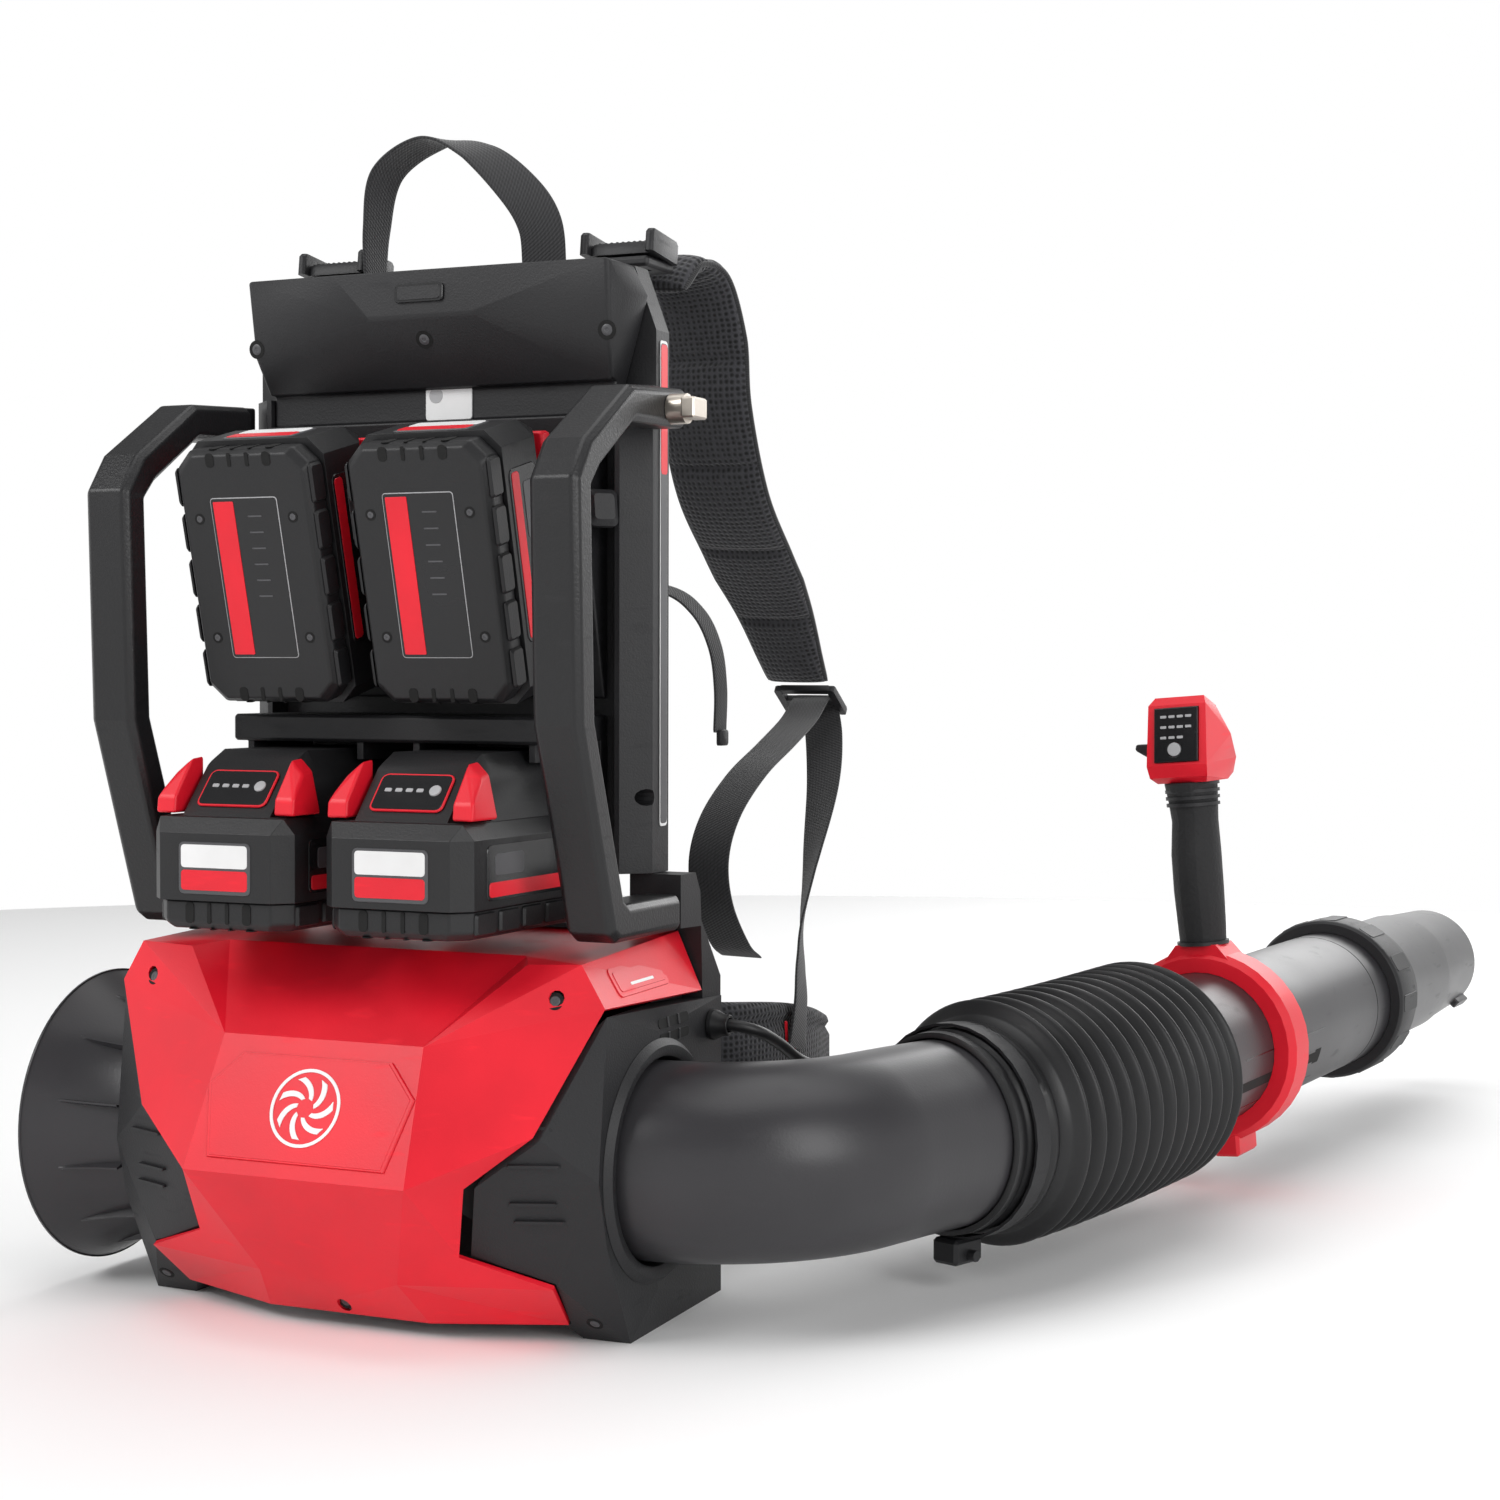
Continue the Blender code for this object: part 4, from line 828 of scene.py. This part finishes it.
def bellows():
    """Ribbed hose: radius = root + (rib - root) sin^2(pi s / pitch)."""
    pitch = (RIB_END - RIB_START) / RIBS
    s = np.linspace(RIB_START, RIB_END, RIBS * 16)
    rib = np.sin(math.pi * (s - RIB_START) / pitch) ** 2
    first = [(0, 0.0540), (0.0012, 0.0562), (0.006, 0.0566), (0.0075, 0.0550), (0.0105, 0.0550),
             (0.012, 0.0570), (0.027, 0.0570), (0.0285, 0.0592), (0.0325, 0.0592), (0.0345, 0.0572)]
    last = [(0.2315, 0.0590), (0.2335, 0.0572), (0.2375, 0.0566), (0.239, 0.0582), (0.2435, 0.0582),
            (0.245, 0.0562), (0.2508, 0.0556), (0.252, 0.0540)]
    along = np.concatenate([[p[0] for p in first], s, [p[0] for p in last]])
    radius = np.concatenate([[p[1] for p in first], 0.0615 + 0.0085 * rib, [p[1] for p in last]])
    inner = np.where(along < 0.036, 0.0532, np.where(along > 0.229, 0.0511, radius - 0.003))
    path = bellows_path(along)
    wall = np.vstack([pipe(path, radius, 88), pipe(path, inner, 88)[::-1]])
    obj = piece("bellows_finish", [sheet_of(wall, wrap_rows=True, wrap_cols=True, mat="hose")],
                None, ("bellows",), 50)
    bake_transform(obj)
    softened("hose_clamp", "black", 0.0006)


def tube_mark(degrees, half, y0, y1, mat):
    """Thin patch following the tube: x = r cos a, z = -r sin a, just proud of its wall."""
    a = np.radians(np.linspace(degrees - half, degrees + half, 8 if half < 90 else 120))
    y = np.array((y0, y0, y1, y1))[:, None] + 0 * a
    r = TUBE_R + np.array((-0.00005, 0.00008, 0.00008, -0.00005))[:, None]
    points = np.stack([r * np.cos(a), y, -r * np.sin(a)], -1)
    return moved(sheet_of(points, wrap_rows=True, mat=mat), TUBE)


def straight_tube():
    """Handle tube, twist collar and nozzle, each turned from its profile."""
    wall = [(-0.036, 0.0500), (0.372, 0.0500), (0.372, 0.0474), (-0.036, 0.0474)]
    shapes = [lathe(wall, TUBE, "tube", 120)]
    for degrees, half, y0, y1, mark in (
            (-4, 0.6, 0.030, 0.190, "gloss"), (17, 4.2, 0.020, 0.176, "void"),
            (17, 6.0, 0.172, 0.184, "void"), (38, 0.6, 0.030, 0.190, "gloss"),
            (180, 180.0, 0.3115, 0.3127, "void")):
        shapes.append(tube_mark(degrees, half, y0, y1, mark))
    piece("handle_tube_finish", shapes, "tube", ("handle_tube",), 40)

    c0, c1 = COLLAR_START, COLLAR_START + 0.060
    profile = [(c0, 0.0504), (c0, 0.0570), (c0 + 0.0015, 0.0585), (c0 + 0.004, 0.0592),
               (c0 + 0.036, 0.0590), (c0 + 0.039, 0.0578), (c0 + 0.044, 0.0552),
               (c1 - 0.004, 0.0540), (c1, 0.0532), (c1, 0.0474), (0.374, 0.0474),
               (0.374, 0.0504)]
    shapes = [lathe(profile, TUBE, "black", 120)]
    for k in range(12):
        turn = Matrix.Rotation(2 * math.pi * k / 12, 4, "Y")
        flute = TUBE @ turn @ Matrix.Translation((0.0582, c0 + 0.021, 0)) @ Matrix.Rotation(
            math.pi / 2, 4, "Y")
        shapes.append(slab(0.0130, 0.034, 0.0013, flute, "black", 0.0030, 0.0010))
    piece("twist_collar_finish", shapes, "collar", ("twist_collar",))

    n0, n1 = 0.518, 0.613
    profile = [(0.262, 0.0469), (n0 - 0.002, 0.0469), (n0, 0.0462), (n0 + 0.003, 0.0458),
               (n1 - 0.002, 0.0420), (n1, 0.0414), (n1, 0.0398), (n0 + 0.003, 0.0436),
               (n0, 0.0447), (0.262, 0.0447)]
    lug = TUBE @ Matrix.Rotation(math.radians(-48), 4, "Y") @ Matrix.Translation(
        (0, n1 - 0.019, -0.0405)) @ Matrix.Rotation(math.pi, 4, "Y")
    shapes = [lathe(profile, TUBE, "tube", 120),
              slab(0.007, 0.030, 0.0070, lug, "tube", 0.002, 0.001)]
    piece("nozzle_finish", shapes, "nozzle_tube", ("nozzle",), 40)


def control_handle():
    """Clamp ring, rubber grip, red head, display and the three controls."""
    softened("handle_ring", "red", 0.0016, 30)
    softened("head_shell", "red", 0.0028)
    softened("control_panel", "gloss", 0.0008)
    softened("power_button", "lens", 0.0005)
    softened("trigger", "red", 0.0014)
    softened("cruise_lever", "black", 0.0014)
    softened("grip", "grip", 0.0020, 40)
    y0 = 0.101
    tilt = HANDLE @ Matrix.Translation((0, y0 - 0.022, 0.208)) @ Matrix.Rotation(
        math.radians(-11), 4, "X")
    face = tilt @ Matrix.Translation((0, -0.0018, 0)) @ Matrix.Rotation(math.pi / 2, 4, "X")
    shapes = []
    for row, count in ((0.0120, 4), (0.0050, 4), (-0.0020, 3)):
        for k in range(count):
            spot = face @ Matrix.Translation((-0.0086 + 0.0058 * k, row, 0))
            shapes.append(slab(0.0042, 0.0018, 0.0005, spot, "lens", 0.0005, 0.0002))
    piece("panel_lights", shapes, "handle")
    rings = []
    for z, r, gap in ((0.0675, 0.0195, 0), (0.1738, 0.0206, 0), (0.1690, 0.0206, 75),
                      (0.1645, 0.0204, 75), (0.1600, 0.0202, 75)):
        # a gap, in degrees either side of straight ahead, leaves the trigger free
        a = np.radians(np.linspace(90 + gap, 450 - gap, 48, endpoint=bool(gap)))
        loop = np.stack([np.column_stack([q * r * 0.86 * np.cos(a), y0 + q * r * np.sin(a),
                                          np.full(48, z + dz)])
                         for q, dz in ((0.8, 0), (1.0, 0), (1.0, 0.0022), (0.8, 0.0022))], 1)
        shape = sheet_of(loop, wrap_rows=not gap, wrap_cols=True, caps=bool(gap), mat="black")
        rings.append(moved(shape, HANDLE))
    piece("grip_collars", rings, "handle")


# =============================================================== harness
PAD_ROUTE = [(92, 84, 560), (95, 100, 574), (99, 122, 568), (100, 138, 536), (100, 144, 498),
             (100, 168, 450), (100, 206, 415), (101, 244, 381), (103, 266, 352), (104, 276, 339)]
STRAP_ROUTE = [(153, 158, 124), (153, 162, 140), (152, 167, 154), (147.5, 178, 172),
               (141, 196, 196), (135, 226, 232), (127, 262, 272), (118, 286, 300), (111, 297, 318),
               (108, 296, 328), (109, 284, 326), (113, 255, 314), (119, 205, 300),
               (122, 155, 284), (122, 118, 262), (121, 104, 238), (120, 112, 212),
               (118, 140, 186), (116, 162, 176)]
STRAP_SIDE = [(0.0, -1, 0), (0.5, -0.8, 0), (1, -0.1, 0), (1, 0, 0), (1, 0, 0), (1, 0, 0)]
BELT_ROUTE = [(-136, 236, 0), (-142, 190, 0), (-140, 130, 0), (-118, 92, 0), (-60, 84, 0),
              (60, 84, 0), (118, 92, 0), (140, 130, 0), (142, 190, 0), (136, 236, 0)]
LOOP_ROUTE = [(-55, 32, 564), (-54, 32, 594), (-46, 31, 625), (-16, 30, 640), (12, 30, 633),
              (38, 30, 611), (52, 30, 590), (55, 30, 564)]
CHEST_ROUTE = [(-66, 232, 398), (-20, 238, 402), (28, 240, 396), (50, 241, 382),
               (62, 241, 360), (66, 241, 334), (66, 240, 306)]


def handed(route, sign):
    return np.array(route, float) * (sign * MM, MM, MM)


def buckle(point, across, normal, width=0.040, height=0.024):
    """Ladder buckle: an outer frame with two rounded windows and a bar between them."""
    z = Vector(normal).normalized()
    x = (Vector(across) - Vector(across).dot(z) * z).normalized()
    place = Matrix.Translation(point) @ Matrix((x, z.cross(x), z)).transposed().to_4x4()
    rails = [slab(width, 0.0042, 0.0042, place @ Matrix.Translation((0, y, -0.0021)), "black",
                  0.0015, 0.001) for y in (-height / 2, 0, height / 2)]
    rails += [slab(0.0048, height + 0.004, 0.0046, place @ Matrix.Translation((x0, 0, -0.0023)),
                   "black", 0.0015, 0.001) for x0 in (-width / 2, width / 2)]
    return rails


def shoulder_straps():
    for side, sign in (("left", -1), ("right", 1)):
        across = [(sign, 0, 0), (sign, -0.12, 0)]
        route = handed(PAD_ROUTE, sign)
        pad = band(route, (0.046, 0.056, 0.058, 0.058, 0.040), 0.0105, across, "mesh", 160,
                   0.30, 0.42, 0.5)
        run = pad[2][:, 1]
        seam = seam_line(run) > 0.25
        edge = np.abs(pad[2][:, 0]) > 0.0245
        ends = (run < 0.006) | (run > run.max() - 0.006)
        pad = swollen(pad, seam | edge | ends, 4.0, 0.0028)
        hem = band(route, (0.049, 0.059, 0.061, 0.061, 0.043), 0.0050, across, "canvas", 160,
                   0, 0, 0.5)
        strip = band(handed(PAD_ROUTE[2:-2], sign) + (0, 0.0078, 0.0030), (WEB, WEB), 0.0018,
                     across, "webbing", 90)
        obj = piece("shoulder_pad_finish_" + side, [pad, hem, strip], "machine",
                    ("shoulder_pad_" + side,), 60)
        web = band(handed(STRAP_ROUTE, sign), (WEB, WEB), 0.0018,
                   [(sign * x, y, z) for x, y, z in STRAP_SIDE], "webbing", 220)
        piece("lower_strap_finish_" + side, [web], "machine", ("lower_strap_" + side,),
              60)
        shapes = buckle((sign * 0.1075, 0.289, 0.3265), (sign, 0, 0), (0, 0.55, 0.84), 0.036)
        piece("ladder_buckle_" + side, shapes, "machine")
        softened("top_buckle_" + side, "black", 0.0010)
        body = Matrix.Translation((sign * 0.092, 0.060, 0.5722)) @ Matrix.Rotation(-0.12, 4, "X")
        extra = [slab(0.040, 0.026, 0.0070, body, "black", 0.004, 0.0025)]
        extra += [slab(0.0050, 0.034, 0.0125, body @ Matrix.Translation((x, -0.001, 0)), "black",
                       0.002, 0.0018) for x in (-0.0200, 0.0200)]
        for k in range(9):
            ridge = body @ Matrix.Translation((-0.0140 + 0.0035 * k, 0, 0.0064))
            extra.append(slab(0.0014, 0.020, 0.0016, ridge, "black", 0.0006, 0.0004))
        piece("top_buckle_bars_" + side, extra, "machine")


def belt():
    """Hip belt: a padded band bent round the waist, its top edge falling towards the ends."""
    count, rows = 140, 28
    path = curve(np.array(BELT_ROUTE) * MM, count)
    step = np.gradient(path, axis=0)
    out = np.column_stack([step[:, 1], -step[:, 0], np.zeros(count)])
    out /= np.linalg.norm(out, axis=1)[:, None]
    ends = np.abs(np.linspace(-1, 1, count))
    top, low = 0.160 - 0.026 * ends ** 3, 0.066 + 0.006 * ends ** 3
    a = np.linspace(0, 2 * math.pi, rows, endpoint=False)
    across = np.sign(np.cos(a)) * np.abs(np.cos(a)) ** 0.5
    height = np.sign(np.sin(a)) * np.abs(np.sin(a)) ** 0.35
    seam = 1 - 0.45 * np.exp(-((height[None, :] * 0.047 % 0.0235 - 0.0118) / 0.0016) ** 2)
    z = (top + low)[:, None] / 2 + height[None, :] * (top - low)[:, None] / 2
    points = path[:, None] + out[:, None] * (across[None, :] * 0.0062 * seam)[..., None]
    points[..., 2] = z
    run = np.concatenate([[0], np.cumsum(np.linalg.norm(np.diff(path, axis=0), axis=1))])
    uv = np.stack([z, np.repeat(run[:, None], rows, 1)], -1)
    shape = sheet_of(points, wrap_cols=True, caps=True, mat="mesh", uv=uv)
    flat = (seam < 0.75) | (np.abs(height[None, :]) > 0.93)
    held = np.broadcast_to(flat, (count, rows)).copy()
    held[:3] = held[-3:] = True
    shape = swollen(shape, held.ravel(), 4.0, 0.0030)
    obj = piece("hip_belt_finish", [shape], "machine", ("hip_belt",), 60)
    tacks = []
    for sign in (1, -1):
        for k in range(3):
            spot = facing((sign * 0.1495, 0.150 + 0.011 * k, 0.132), (sign, 0, 0.05))
            tacks.append(slab(0.0016, 0.018, 0.0012, spot, "red", 0.0007, 0.0004))
    piece("belt_stitching", tacks, "machine")


def back_cushion():
    """Back pad: a crowned cushion, height (1 - u^4)(1 - v^4), with three sewn channels."""
    lo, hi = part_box("back_pad")
    u, v = np.meshgrid(np.linspace(-1, 1, 60), np.linspace(-1, 1, 90))
    channel = 1 - 0.38 * np.exp(-((v * 2) % 1 - 0.5) ** 2 / 0.0022)
    middle = 1 - 0.5 * np.exp(-(u / 0.09) ** 2)
    depth = (hi[1] - lo[1]) * ((1 - u ** 6) * (1 - v ** 6)) ** 0.5 * channel * middle
    x = u * (hi[0] - lo[0]) / 2
    z = (lo[2] + hi[2]) / 2 + v * (hi[2] - lo[2]) / 2
    front = np.stack([x, lo[1] + 0.003 + depth * 0.92, z], -1)
    rear = np.stack([x, np.full_like(x, lo[1]), z], -1)
    uv = np.stack([x, z], -1)
    wrap = np.hstack([front, rear[:, ::-1]])
    shape = sheet_of(wrap, wrap_cols=True, caps=True, mat="mesh", uv=np.hstack([uv, uv[:, ::-1]]))
    sewn = (channel * middle < 0.8) | (np.maximum(np.abs(u), np.abs(v)) > 0.97)
    held = np.hstack([sewn, np.ones_like(sewn)])
    shape = swollen(shape, held.ravel(), 4.0, 0.0040)
    obj = piece("back_pad_finish", [shape], "machine", ("back_pad",), 60)


def harness():
    shoulder_straps()
    belt()
    back_cushion()
    loop = band(handed(LOOP_ROUTE, 1), (0.022, WEB), 0.0020, [(0, 1, 0), (1, 0.2, 0)], "webbing",
                160)
    anchors = [slab(0.030, 0.008, 0.004, Matrix.Translation((x, 0.030, 0.5632)), "black", 0.002)
               for x in (-0.055, 0.055)]
    piece("carry_loop_finish", [loop] + anchors, "machine", ("carry_loop",), 60)
    chest = band(handed(CHEST_ROUTE, 1), (0.018, 0.018), 0.0018, [(0, 0.9, 0.3), (0, 1, 0.1)],
                 "webbing", 140)
    tab = slab(0.012, 0.010, 0.003, facing((0.0665, 0.240, 0.303), (1, 0, 0)), "black", 0.002)
    piece("chest_strap_finish", [chest, tab], "machine", ("chest_strap",), 60)


# =============================================================== scene
def floor():
    mesh = bpy.data.meshes.new("floor")
    a = np.linspace(0, 2 * math.pi, 96, endpoint=False)
    rim = np.stack([0.1 + 2.3 * np.cos(a), 0.2 + 2.3 * np.sin(a), 0 * a], 1)
    mesh.from_pydata(rim.tolist(), [], [list(range(96))])
    f = Finish("floor_white", 0.7)
    f.shader.inputs["Base Color"].default_value = (0.93, 0.93, 0.93, 1)
    mesh.materials.append(f.material)
    obj = bpy.data.objects.new("floor", mesh)
    bpy.context.scene.collection.objects.link(obj)


camera()
control_cable()
cover_and_housing()
inlet()
inside()
back_frame()
packs()
elbow()
bellows()
straight_tube()
control_handle()
harness()
floor()
studio()
